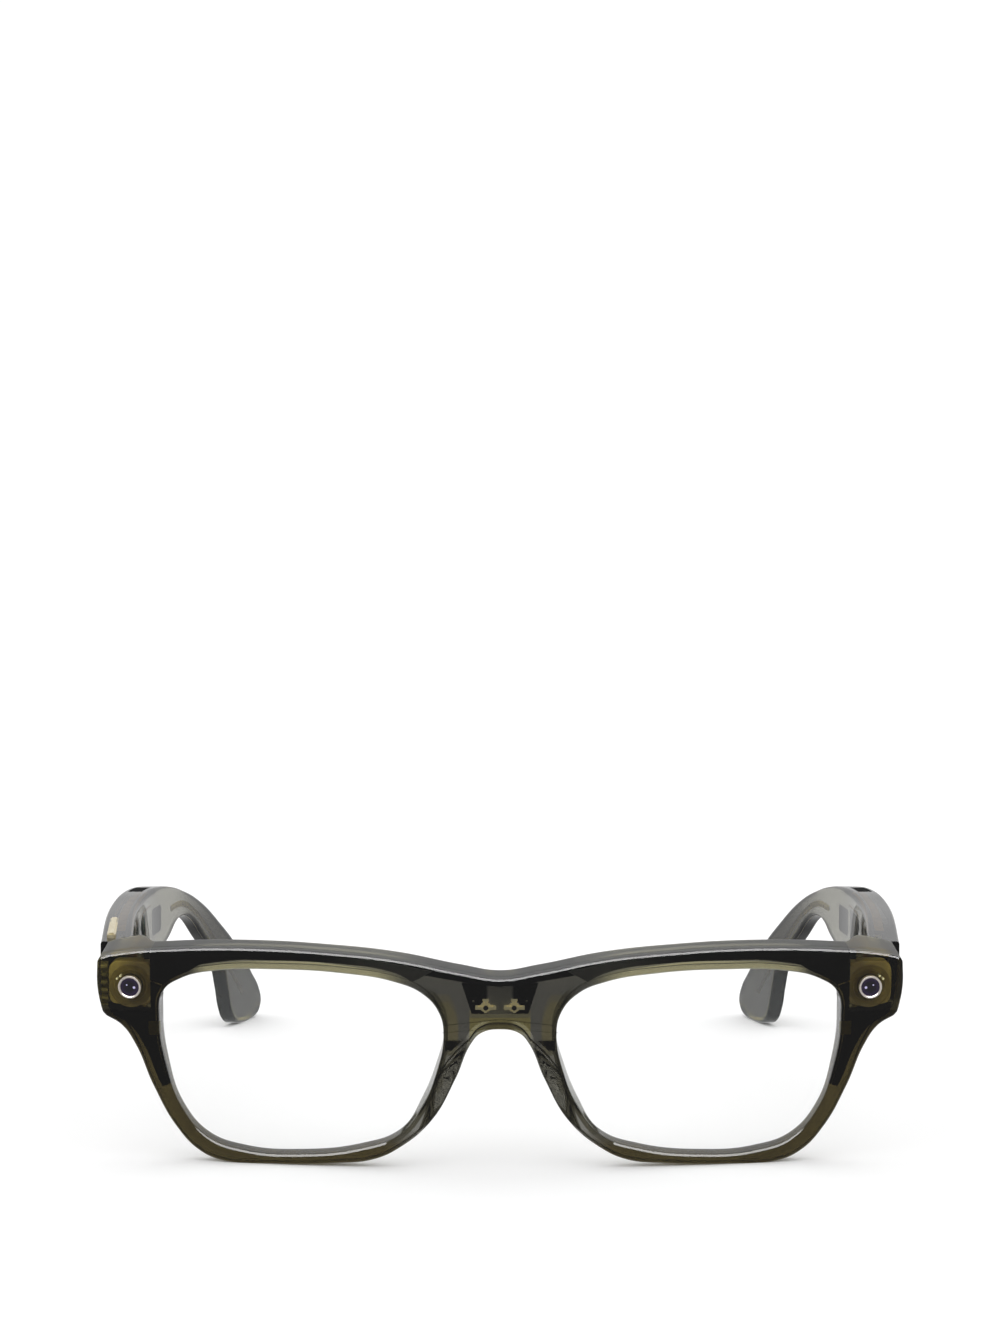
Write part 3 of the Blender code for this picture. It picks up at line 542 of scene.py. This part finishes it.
bow = np.poly1d(np.polyfit(*np.array(bowLine).T, 5))


def onTemple(u, y, z, sign):
    # Distance out from the inner face, distance back and height, in mm, to metres in the frame
    thin = 1 - templeSizes["tipTaper"] * smooth(y, 88, 112)
    x = sign * (bow(y) + u * thin)
    return np.stack([x, y + frontSizes["shift"], np.maximum(z, 0)], axis=-1) * mm


def makeTemple(name, sign, finish, body):
    top = smoothLine(topLine, steps=30)
    low = smoothLine(lowLine, steps=30)
    count = templeSizes["sections"]
    share = np.linspace(0, 1, count)
    share = 1 - (1 - share) ** 1.25
    topRun, lowRun = lengthAlong(top), lengthAlong(low)
    upper = np.stack([np.interp(share * topRun[-1], topRun, top[:, a]) for a in (0, 1)], axis=1)
    lower = np.stack([np.interp(share * lowRun[-1], lowRun, low[:, a]) for a in (0, 1)], axis=1)
    tall = np.linalg.norm(upper - lower, axis=1)
    across = (upper - lower) / np.maximum(tall, 1e-6)[:, None]
    thickness = templeSizes["thickness"]
    inner = np.where(upper[:, 0] < templeSizes["coverStart"], templeSizes["hingeRoom"], 0.0)
    corner = np.minimum(templeSizes["startRound"] + (templeSizes["round"] - templeSizes["startRound"])
                        * smooth(upper[:, 0], 16, 60), tall / 2)
    outer = np.minimum(templeSizes["outerRound"] + 0.8 * smooth(upper[:, 0], 85, 120), tall / 2)
    bends = np.linspace(0, np.pi / 2, 8)
    loop = []    # each entry: u and distance up from the lower edge, per section
    seam, cut = templeSizes["seam"], templeSizes["seamCut"]

    def add(u, up):
        loop.append(np.stack([np.broadcast_to(u, (count,)), np.broadcast_to(up, (count,))], axis=1))

    for bend in bends:    # lower outer corner, then up the outer face
        add(thickness - outer * (1 - np.sin(bend)), outer * (1 - np.cos(bend)))
    for part in np.linspace(0, 1, 8)[1:-1]:
        add(thickness, outer + (tall - 2 * outer) * part)
    for bend in bends:    # upper outer corner
        add(thickness - outer * (1 - np.cos(bend)), tall - outer * (1 - np.sin(bend)))
    for offset, groove in ((0.5, 0), (0.14, 0), (0.05, 1), (-0.05, 1), (-0.14, 0)):    # seam on the top
        add(np.maximum(seam + offset, inner + 0.3), tall - cut * groove)
    for bend in bends:    # upper inner corner
        add(inner + corner * 0.8 * (1 - np.sin(bend)), tall - corner * (1 - np.cos(bend)))
    for part in np.linspace(0, 1, 8)[1:-1]:
        add(inner, tall - corner - (tall - 2 * corner) * part)
    for bend in bends:    # lower inner corner
        add(inner + corner * 0.8 * (1 - np.cos(bend)), corner * (1 - np.sin(bend)))
    for offset, groove in ((-0.14, 0), (-0.05, 1), (0.05, 1), (0.14, 0), (0.5, 0)):    # seam underneath
        add(np.maximum(seam + offset, inner + 0.3), cut * groove)
    rings = np.array(loop)    # loop, section, (u, up)
    u, up = rings[..., 0], rings[..., 1]
    # The tip is rounded across as well: the section narrows towards its middle near the end
    end = np.clip((topRun[-1] * (1 - share)) / 2.6, 0, 1)
    narrow = np.sqrt(1 - (1 - end) ** 2)
    middle = thickness / 2
    u = middle + (u - middle) * (0.25 + 0.75 * narrow)[None, :]
    spot = lower[None] + across[None] * up[..., None]
    points = onTemple(u, spot[..., 0], spot[..., 1], sign).transpose(1, 0, 2)    # section, loop
    measures = {"fromFront": up.T.ravel()}
    size = len(loop)
    faces = sheetFaces(count, size, False, True).tolist()
    faces.append(list(range(size)))
    faces.append([(count - 1) * size + k for k in range(size)])
    return makePiece(name, points, faces, finish, body, 50, measures)


def templeResin():
    finish = resinFinish("smokeResinTemple")
    x, y, z = finish.place()
    back = y - frontSizes["shift"]
    cloud = finish.noise(60, 2)
    light = finish.blend(cloud, (0.5, 0.5, 0.47), (0.72, 0.72, 0.68))
    dark = finish.blend(cloud, (0.045, 0.045, 0.04), (0.075, 0.07, 0.06))
    tint = finish.blend(back.ramp(92, 132), light, dark)
    edge = finish.measure("fromFront")    # an olive strip along the front of the hooked end
    strip = edge.ramp(1.5, 1.2) * edge.ramp(0.5, 0.7) * back.ramp(120, 124)
    tint = finish.blend(strip, tint, (0.3, 0.27, 0.1))
    finish.paint("Base Color", tint)
    wear = finish.noise(900, 4)
    finish.paint("Roughness", wear.ramp(0.45, 0.8) * 0.03 + 0.02)
    return finish


def makeVent(sign, side, finish):
    rows = np.linspace(77.8, 86.8, 20)
    top = smoothLine(topLine, steps=30)
    high = np.interp(rows, top[:, 0], top[:, 1])
    ring = []
    for u, rise in ((1.9, 0.06), (4.7, 0.06), (4.8, 0.0), (4.8, -0.6), (1.8, -0.6), (1.8, 0.0)):
        ring.append(onTemple(u, rows, high + rise, sign))
    points = np.array(ring).transpose(1, 0, 2)
    faces = sheetFaces(len(rows), len(ring), False, True).tolist()
    faces += [list(range(len(ring))), [(len(rows) - 1) * len(ring) + k for k in range(len(ring))]]
    piece = makePiece(f"{side}_vent", points, faces, finish, f"{side}_temple", 30)
    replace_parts(piece, f"{side}_speaker_vent")


templeFinish = templeResin()
ventFinish = plainFinish("ventMesh", (0.002, 0.002, 0.002), (0.008, 0.008, 0.008), 900, 0.6, shine=0.02)
for sign, side in ((-1, "right"), (1, "left")):
    piece = makeTemple(f"resin_{side}_temple", sign, templeFinish, f"{side}_temple")
    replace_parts(piece, f"{side}_temple_shell", f"{side}_temple_cover")
    makeVent(sign, side, ventFinish)
print("made the temples")


# Cameras and lights in the end pieces

eyeSizes = {
    "centre": (67.7, 31.9), "rise": 0.5, "width": 8.2, "height": 8.3, "squareness": 5.0,
    "face": -1.3, "back": -5.6,
    "paintedGlints": [(-0.85, -0.1, 0.09), (0.5, 0.35, 0.03)]}    # right, up and size of each painted highlight


def housingFinish():
    finish = Finish("oliveHousing", Roughness=0.35)
    x, y, z = finish.place()
    cloud = finish.noise(260, 3)
    warm = finish.blend(cloud.ramp(0.35, 0.65), (0.2, 0.15, 0.035), (0.34, 0.27, 0.07))
    # darker towards the inner side of the body and lighter towards the outer side: painted shade
    shade = (abs(x) - 65.5).ramp(0, 5) * 0.7 + 0.3
    finish.paint("Base Color", finish.blend(shade, (0.06, 0.04, 0.012), warm))
    finish.bump(cloud, 0.05 * mm)
    return finish


def makeHousing(name, node, sign, finish):
    # A rounded square body whose face steps down to the middle: rows blend from a squircle to circles
    place = frontFrame(sign * eyeSizes["centre"][0], 0, eyeSizes["centre"][1])
    angle = np.linspace(0, 2 * np.pi, 96, endpoint=False)
    c, s = np.cos(angle), np.sin(angle)
    power = eyeSizes["squareness"]
    square = 1 / (np.abs(c) ** power + np.abs(s) ** power) ** (1 / power)
    w, h = eyeSizes["width"] / 2, eyeSizes["height"] / 2
    rise = eyeSizes["rise"]
    face, back = eyeSizes["face"], eyeSizes["back"]
    rows = []
    for size, z in ((0.0, back), (0.97, back), (1.0, back + 0.15), (1.0, face - 0.3), (0.99, face - 0.12),
                    (0.96, face)):
        rows.append(np.stack([c * square * w * size, s * square * h * size + rise,
                              np.full_like(c, z)], axis=1))
    for radius, z in ((4.0, face), (3.95, face - 0.05), (3.9, face - 0.22), (3.1, face - 0.5),
                      (3.05, face - 0.46), (2.95, face - 0.46), (2.9, face - 0.62), (2.5, face - 0.75),
                      (2.45, face - 0.7), (2.25, face - 0.7), (2.2, face - 0.8), (2.2, face - 2.0),
                      (0, face - 2.0)):
        rows.append(np.stack([c * radius, s * radius, np.full_like(c, z)], axis=1))
    local = np.array(rows) * mm
    local = np.concatenate([local, np.ones((*local.shape[:2], 1))], axis=2)
    points = (local @ place.T)[..., :3]
    faces = sheetFaces(len(rows), len(angle), False, True)
    piece = makePiece(name, points, faces, finish, "front", 30)
    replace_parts(piece, node)
    return piece


def ringFinish():
    finish = Finish("roseGold", Metallic=0.75)
    brushed = finish.noise(2500, 2)
    finish.paint("Base Color", finish.blend(brushed, (0.93, 0.84, 0.76), (1.0, 0.93, 0.87)))
    finish.paint("Roughness", brushed * 0.15 + 0.22)
    return finish


def glassFinish():
    finish = Finish("cameraGlass", Roughness=0.03, Coat_Weight=1.0, Coat_Roughness=0.02)
    x, y, z = finish.place()
    height = z * math.cos(tilt) - (y - frontSizes["shift"]) * math.sin(tilt)
    across, rise = abs(x) - eyeSizes["centre"][0], height - eyeSizes["centre"][1]
    # The glass's colour is painted reflection: darker in the middle, a lighter violet ring towards the edge,
    # and small pale spots that are painted highlights
    rim = (across * across + rise * rise).ramp(0.3, 2.6)
    tint = finish.blend(rim, (0.002, 0.0, 0.004), (0.012, 0.004, 0.028))
    for right, up, size in eyeSizes["paintedGlints"]:
        spot = (across - right) * (across - right) + (rise - up) * (rise - up)
        tint = finish.blend(spot.ramp(size, size * 0.1), tint, (0.55, 0.52, 0.8))
    finish.paint("Base Color", tint)
    return finish


def makeEyes():
    housing, gold, glass = housingFinish(), ringFinish(), glassFinish()
    ring = [(2.12, -1.1), (2.12, 0.12), (2.08, 0.2), (1.98, 0.24), (1.86, 0.22), (1.76, 0.12),
            (1.7, -0.02), (1.68, -1.1)]
    dome = [(0, -2.0), (1.69, -2.0), (1.69, 0.01), (1.6, 0.015), (1.45, 0.02), (1.1, 0.06), (0.6, 0.1),
            (0, 0.115)]
    for sign, side, kind in ((-1, "right", "light"), (1, "left", "camera")):
        place = frontFrame(sign * eyeSizes["centre"][0], 0, eyeSizes["centre"][1])
        makeHousing(f"{side}_{kind}_body", f"{side}_{kind}_housing", sign, housing)
        piece = turnedPiece(f"{side}_{kind}_bezel", ring, place, gold, "front", 96)
        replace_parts(piece, f"{side}_{kind}_ring")
        piece = turnedPiece(f"{side}_{kind}_glass", dome, place, glass, "front", 64)
        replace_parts(piece, f"{side}_{kind}_lens")


makeEyes()
print("made the camera and the light")


# Black carrier along the brow and antenna plates in the outer rims, inside the resin

plateSizes = {"front": 1.35, "back": 1.95, "outer": 0.75, "inner": 0.5, "bandRoom": 1.5, "windowEdge": 63.9,
              "windowFoot": 27.7, "browFrom": 28, "browTo": 162, "antennaFrom": 162.6, "antennaTo": 203}


def carrierFinish():
    finish = Finish("blackCarrier", Roughness=0.5, Specular_IOR_Level=0.04)
    x, y, z = finish.place()
    grain = finish.noise(600, 3)
    black = finish.blend(grain, (0.003, 0.003, 0.003), (0.008, 0.008, 0.009))
    finish.paint("Base Color", finish.blend(abs(x).ramp(34, 17), black, (0.16, 0.16, 0.155)))
    finish.bump(grain, 0.02 * mm)
    return finish


def plateGrid(fromAngle, toAngle, count):
    # Rays from the opening's centre between two angles: each runs from the opening's edge, moved out,
    # to the front's edge, moved in, or to the window beside the camera
    centre = np.array(frontSizes["centre"], float)
    turn = np.radians(np.linspace(fromAngle, toAngle, count))
    reaches = []
    outline = smoothLine(frontOutline + flipped(frontOutline[1:-1]), True, 24)
    opening = smoothLine(lensOutline, True, 24)
    for line in (opening, outline[:(len(frontOutline) - 1) * 24 + 1]):
        angle, reach = polar(line, centre)
        if angle[-1] < angle[0]:
            angle, reach = angle[::-1], reach[::-1]
        loops = [angle + 2 * np.pi * lap for lap in (-1, 0, 1)]
        reaches.append(np.interp(turn, np.concatenate(loops), np.tile(reach, 3)))
    start, end = reaches
    away = np.stack([np.cos(turn), np.sin(turn)], axis=1)
    side = centre[0] + away[:, 0] * start
    up = smooth(away[:, 1] * start, 9, 11.5)
    room = plateSizes["inner"] + (plateSizes["bandRoom"] - plateSizes["inner"]) * up * smooth(side, -57, -52)
    end = end - plateSizes["outer"] / np.maximum(np.abs(away[:, 1]), 0.55)
    toWindow = (-plateSizes["windowEdge"] - centre[0]) / np.minimum(away[:, 0], -0.01)
    atWindow = centre[1] + away[:, 1] * toWindow > plateSizes["windowFoot"]
    facing = atWindow & (away[:, 0] < -0.3)
    end = np.where(facing, np.minimum(end, toWindow), end)
    start = np.minimum(start + room / np.maximum(np.abs(away[:, 1]), 0.75), end - 0.3)
    share = np.linspace(0, 1, 5)[:, None]
    reach = start + (end - start) * share
    return centre[0] + away[:, 0] * reach, centre[1] + away[:, 1] * reach


def platePiece(name, x, height, sign, finish):
    # Two layers of the same grid, joined round their edges
    layers = [onFront(sign * -x, plateSizes[face], height) for face in ("front", "back")]
    rows, columns = x.shape
    loop = np.concatenate([layers[0], layers[1][::-1]])    # over the front, back over the rear
    faces = sheetFaces(2 * rows, columns, True, False).tolist()
    for column in (0, columns - 1):
        strip = [row * columns + column for row in range(2 * rows)]
        faces += [[strip[k], strip[k + 1], strip[-k - 2], strip[-k - 1]] for k in range(rows - 1)]
    return makePiece(name, loop, faces, finish, "front", 30)


def makePlates():
    finish = carrierFinish()
    x, height = plateGrid(plateSizes["browFrom"], plateSizes["browTo"], 300)
    halves = [platePiece(f"{side}_brow_plate", x, height, sign, finish)
              for sign, side in ((-1, "right"), (1, "left"))]
    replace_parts(halves[0], "brow_carrier")
    x, height = plateGrid(plateSizes["antennaFrom"], plateSizes["antennaTo"], 160)
    for sign, side in ((-1, "right"), (1, "left")):
        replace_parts(platePiece(f"{side}_antenna_plate", x, height, sign, finish), f"{side}_rim_antenna")


makePlates()
print("made the plates inside the front")


def flatPiece(name, outline, place, back, face, finish, body, edge=0.06):
    # A flat plate: the outline is drawn in to its middle on both faces, with a small rounded edge
    line = np.array(outline, float)
    middle = line.mean(axis=0)
    rows = []
    for share, height in ((0, back), (1 - edge, back), (1, back + edge), (1, face - edge),
                          (1 - edge, face), (0, face)):
        flat = middle + (line - middle) * share
        rows.append(np.column_stack([flat, np.full(len(line), height)]))
    local = np.array(rows) * mm
    local = np.concatenate([local, np.ones((*local.shape[:2], 1))], axis=2)
    points = (local @ place.T)[..., :3]
    return makePiece(name, points, sheetFaces(len(rows), len(line), False, True), finish, body, 30)


# Charging contacts: a pin with a collar, held by a cross-shaped spring plate

contactSizes = {"x": 2.55, "height": 29.65, "arm": 1.85, "half": 0.26, "stub": 1.75}


def makeContacts():
    finish = plainFinish("glowingContactBrass", (0.85, 0.75, 0.4), (1, 0.95, 0.7), 1800, 0.3, 0.0, 0.01)
    x, y, z = finish.place()
    across = abs(x) - contactSizes["x"]
    rise = z * math.cos(tilt) - (y - frontSizes["shift"]) * math.sin(tilt) - contactSizes["height"]
    # a black dot painted at the middle stands for the shade inside a hole the pin doesn't have: painted shade
    hole = (across * across + rise * rise).ramp(0.26, 0.18)
    glowingBrass = finish.blend(hole, (0.9, 0.82, 0.5), (0.02, 0.02, 0.02))
    finish.paint("Base Color", glowingBrass)
    # the contacts glow though they are no lamp: painted light, so they show through the dark resin
    finish.paint("Emission Color", glowingBrass)
    finish.shader.inputs["Emission Strength"].default_value = 0.55
    pin = [(0, 2.95), (0.62, 2.95), (0.7, 2.87), (0.7, 3.9), (1.0, 3.95), (1.05, 4.05), (1.05, 4.35),
           (0.98, 4.42),
           (0.62, 4.42), (0.5, 4.3), (0, 4.3)]
    a, h, stub = contactSizes["arm"], contactSizes["half"], contactSizes["stub"]
    cross = [(h, -h - 0.6), (h, -h), (a, -h), (a, 0.55), (a - 0.35, 0.55), (a - 0.35, h - 0.05), (h, h),
             (h, stub - 0.3),
             (0.55, stub - 0.3), (0.55, stub), (-0.55, stub), (-0.55, stub - 0.3), (-h, stub - 0.3), (-h, h),
             (-a + 0.35, h - 0.05), (-a + 0.35, 0.55), (-a, 0.55), (-a, -h), (-h, -h), (-h, -h - 0.6)]
    for sign, side in ((-1, "right"), (1, "left")):
        place = frontFrame(sign * contactSizes["x"], frontSizes["browDepth"] + 0.3, contactSizes["height"])
        lowered = [(radius, height - 0.6) for radius, height in pin]
        piece = turnedPiece(f"{side}_contact_pin", lowered, place, finish, "front", 40)
        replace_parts(piece, f"{side}_charging_contact")
        flatPiece(f"{side}_contact_spring", cross, place, 4.2, 4.4, finish, "front")


makeContacts()


# Small olive pads before the antenna plates, and the ribs inside the outer wall of one end piece

padSizes = {"x": 63.5, "height": 24.1, "face": -1.1, "back": -1.3}
ribSizes = {"low": 28.3, "high": 36, "inner": 71.8, "outer": 73.05, "start": 27.4, "pitch": 1.46,
            "crest": 1.1, "depth": 1.5, "back": 4.4}


def makePads():
    finish = plainFinish("olivePad", (0.13, 0.12, 0.035), (0.2, 0.18, 0.06), 500, 0.5, shine=0.1)
    pad = [(-1.05, -1.3), (0.95, -1.3), (1.05, -1.2), (1.05, 1.2), (0.95, 1.3), (-0.95, 1.3), (-1.05, 1.2)]
    for sign, side in ((-1, "right"), (1, "left")):
        place = frontFrame(sign * padSizes["x"], 0, padSizes["height"])
        flatPiece(f"{side}_antenna_pad", pad, place, padSizes["back"], padSizes["face"], finish, "front")


def makeRibs():
    finish = plainFinish("oliveRib", (0.1, 0.09, 0.03), (0.17, 0.15, 0.06), 400, 0.5, shine=0.1)
    height = np.linspace(ribSizes["low"], ribSizes["high"], 130)
    across = np.linspace(ribSizes["inner"], ribSizes["outer"], 5)
    turn = ((height - ribSizes["start"]) / ribSizes["pitch"]) % 1
    near = ribSizes["crest"] + ribSizes["depth"] * smooth(np.abs(turn - 0.5), 0.16, 0.3)
    wide, tall = np.meshgrid(across, height, indexing="ij")
    layers = [onFront(-wide, np.broadcast_to(depth, wide.shape), tall)
              for depth in (near, np.full_like(near, ribSizes["back"]))]
    loop = np.concatenate([layers[0], layers[1][::-1]])
    columns, half = len(height), len(across)
    faces = sheetFaces(len(loop), columns, True, False).tolist()
    for column in (0, columns - 1):
        strip = [row * columns + column for row in range(2 * half)]
        faces += [[strip[k], strip[k + 1], strip[-k - 2], strip[-k - 1]] for k in range(half - 1)]
    makePiece("right_end_ribs", loop, faces, finish, "front", 30)


makePads()
makeRibs()
print("made the contacts, pads and ribs")


# Finishes for the CAD nodes that show as they are

def slotFinishes():
    return {
        "black_plastic": plainFinish("blackPlastic", (0.004, 0.004, 0.005), (0.012, 0.012, 0.013), 500, 0.4,
                                     grain=0.02, shine=0.04),
        "olive_plastic": housingFinish(),
        "rose_gold": plainFinish("paleGold", (0.72, 0.62, 0.4), (0.86, 0.78, 0.56), 1500, 0.3, 0.8),
        "camera_glass": glassFinish(),
        "pale_light": plainFinish("paleLight", (0.85, 0.85, 0.7), (1, 1, 0.9), 900, 0.2),
        "brass": plainFinish("brass", (0.62, 0.5, 0.22), (0.8, 0.7, 0.4), 1800, 0.28, 0.85, 0.01),
        "steel": plainFinish("steel", (0.5, 0.5, 0.48), (0.66, 0.66, 0.64), 1800, 0.3, 0.9, 0.01),
        "flex_film": plainFinish("flexFilm", (0.2, 0.1, 0.02), (0.34, 0.2, 0.06), 700, 0.35),
        "board_green": plainFinish("boardGreen", (0.01, 0.05, 0.03), (0.03, 0.1, 0.06), 1200, 0.4),
        "battery_foil": plainFinish("batteryFoil", (0.35, 0.35, 0.36), (0.6, 0.6, 0.62), 400, 0.3, 0.6, 0.03),
        "smoke_resin": templeFinish,
        "clear_lens": clearFinish}


def boardFinish():
    finish = Finish("bridgeBoard", Roughness=0.5, Specular_IOR_Level=0.04)
    x, y, z = finish.place()
    grain = finish.noise(500, 3)
    black = finish.blend(grain, (0.003, 0.003, 0.003), (0.009, 0.009, 0.01))
    face = finish.blend(abs(x).ramp(2.6, 1.9), black, (0.9, 0.9, 0.88))
    height = z * math.cos(tilt) - (y - frontSizes["shift"]) * math.sin(tilt)
    dot = ((abs(x) - 4.8) * (abs(x) - 4.8) + (height - 30.9) * (height - 30.9)).ramp(0.06, 0.02)
    finish.paint("Base Color", finish.blend(dot, face, (0.9, 0.9, 0.7)))
    finish.bump(grain, 0.02 * mm)
    return finish


def dressNodes():
    finishes = slotFinishes()
    finishes["bridge_board"] = boardFinish()
    finishes["brow_flex"] = finishes["black_plastic"]
    slots = {entry["node"]: entry["material_slot"] for entry in frame["record"]["subparts"]}
    for name, item in frame["nodes"].items():
        if item.hide_render:
            continue
        finish = finishes.get(name, finishes[slots[name]])
        item.data.materials.clear()
        item.data.materials.append(finish.material)


dressNodes()
print("dressed the nodes")


# Floor, light and camera

def makeFloor():
    mesh = bpy.data.meshes.new("floor")
    reach = 30.0
    mesh.from_pydata([(-reach, -reach, 0), (reach, -reach, 0), (reach, reach, 0), (-reach, reach, 0)], [],
                     [(0, 1, 2, 3)])
    finish = Finish("paleFloor", Roughness=0.9, Specular_IOR_Level=0.0)
    cloud = finish.noise(3, 2)
    finish.paint("Base Color", finish.blend(cloud, (0.92, 0.92, 0.92), (0.94, 0.94, 0.94)))
    mesh.materials.append(finish.material)
    floor = bpy.data.objects.new("floor", mesh)
    bpy.context.scene.collection.objects.link(floor)
    floor.location.z = -0.02 * mm
    floor.visible_glossy = False    # the polished resin mirrors the dark studio, not the floor


def addLight(name, place, aim, size, power, glossOnly=False):
    lamp = bpy.data.lights.new(name, "AREA")
    lamp.shape = "RECTANGLE"
    lamp.size, lamp.size_y = size
    lamp.energy = power
    item = bpy.data.objects.new(name, lamp)
    item.location = place
    direction = np.array(aim) - np.array(place)
    item.rotation_euler = Vector(direction).to_track_quat("-Z", "Y").to_euler()
    if glossOnly:
        item.visible_diffuse = False
        item.visible_transmission = False
    bpy.context.scene.collection.objects.link(item)


def makeWorld():
    # White to the eye and through the resin; for reflections darker in front and grey behind
    world = bpy.data.worlds.new("studio")
    bpy.context.scene.world = world
    world.use_nodes = True
    nodes, links = world.node_tree.nodes, world.node_tree.links
    tools = Finish.__new__(Finish)
    tools.tree = world.node_tree
    path = nodes.new("ShaderNodeLightPath")
    direction = tools.node("ShaderNodeTexCoord", {}, {}, "Generated")
    behind = tools.node("ShaderNodeSeparateXYZ", {}, {0: direction}, 1)
    up = tools.node("ShaderNodeSeparateXYZ", {}, {0: direction}, 2)
    bounced = Wire(tools, path.outputs["Is Glossy Ray"])
    glossy = bounced * (1 - Wire(tools, path.outputs["Is Transmission Ray"]))
    studio = behind.ramp(-0.1, 0.9) * 0.4 + 0.27 + up.ramp(0.3, 1.0) * 0.3
    strength = glossy * studio + (1 - glossy) * 1.04 + Wire(tools, path.outputs["Is Diffuse Ray"]) * 0.2
    background = nodes["Background"]
    background.inputs["Color"].default_value = (1, 1, 1, 1)
    links.new(strength.socket, background.inputs["Strength"])


def makeCamera():
    data = bpy.data.cameras.new("camera")
    data.lens = 67.4
    data.sensor_width = 36
    data.clip_start = 0.01
    camera = bpy.data.objects.new("camera", data)
    camera.location = (0, -0.5263, 0.1089)
    camera.rotation_euler = (math.radians(90 - 2.25), 0, 0)
    bpy.context.scene.collection.objects.link(camera)
    bpy.context.scene.camera = camera


makeFloor()
makeWorld()
addLight("overhead", (0, -0.32, 0.7), (0, -0.06, 0), (1.2, 0.5), 18, glossOnly=True)
addLight("catchlight", (0.12, -0.5, 0.22), (0, -0.08, 0.03), (0.03, 0.05), 0.05, glossOnly=True)
makeCamera()
bpy.context.scene.view_settings.view_transform = "Standard"
print("set the stage")
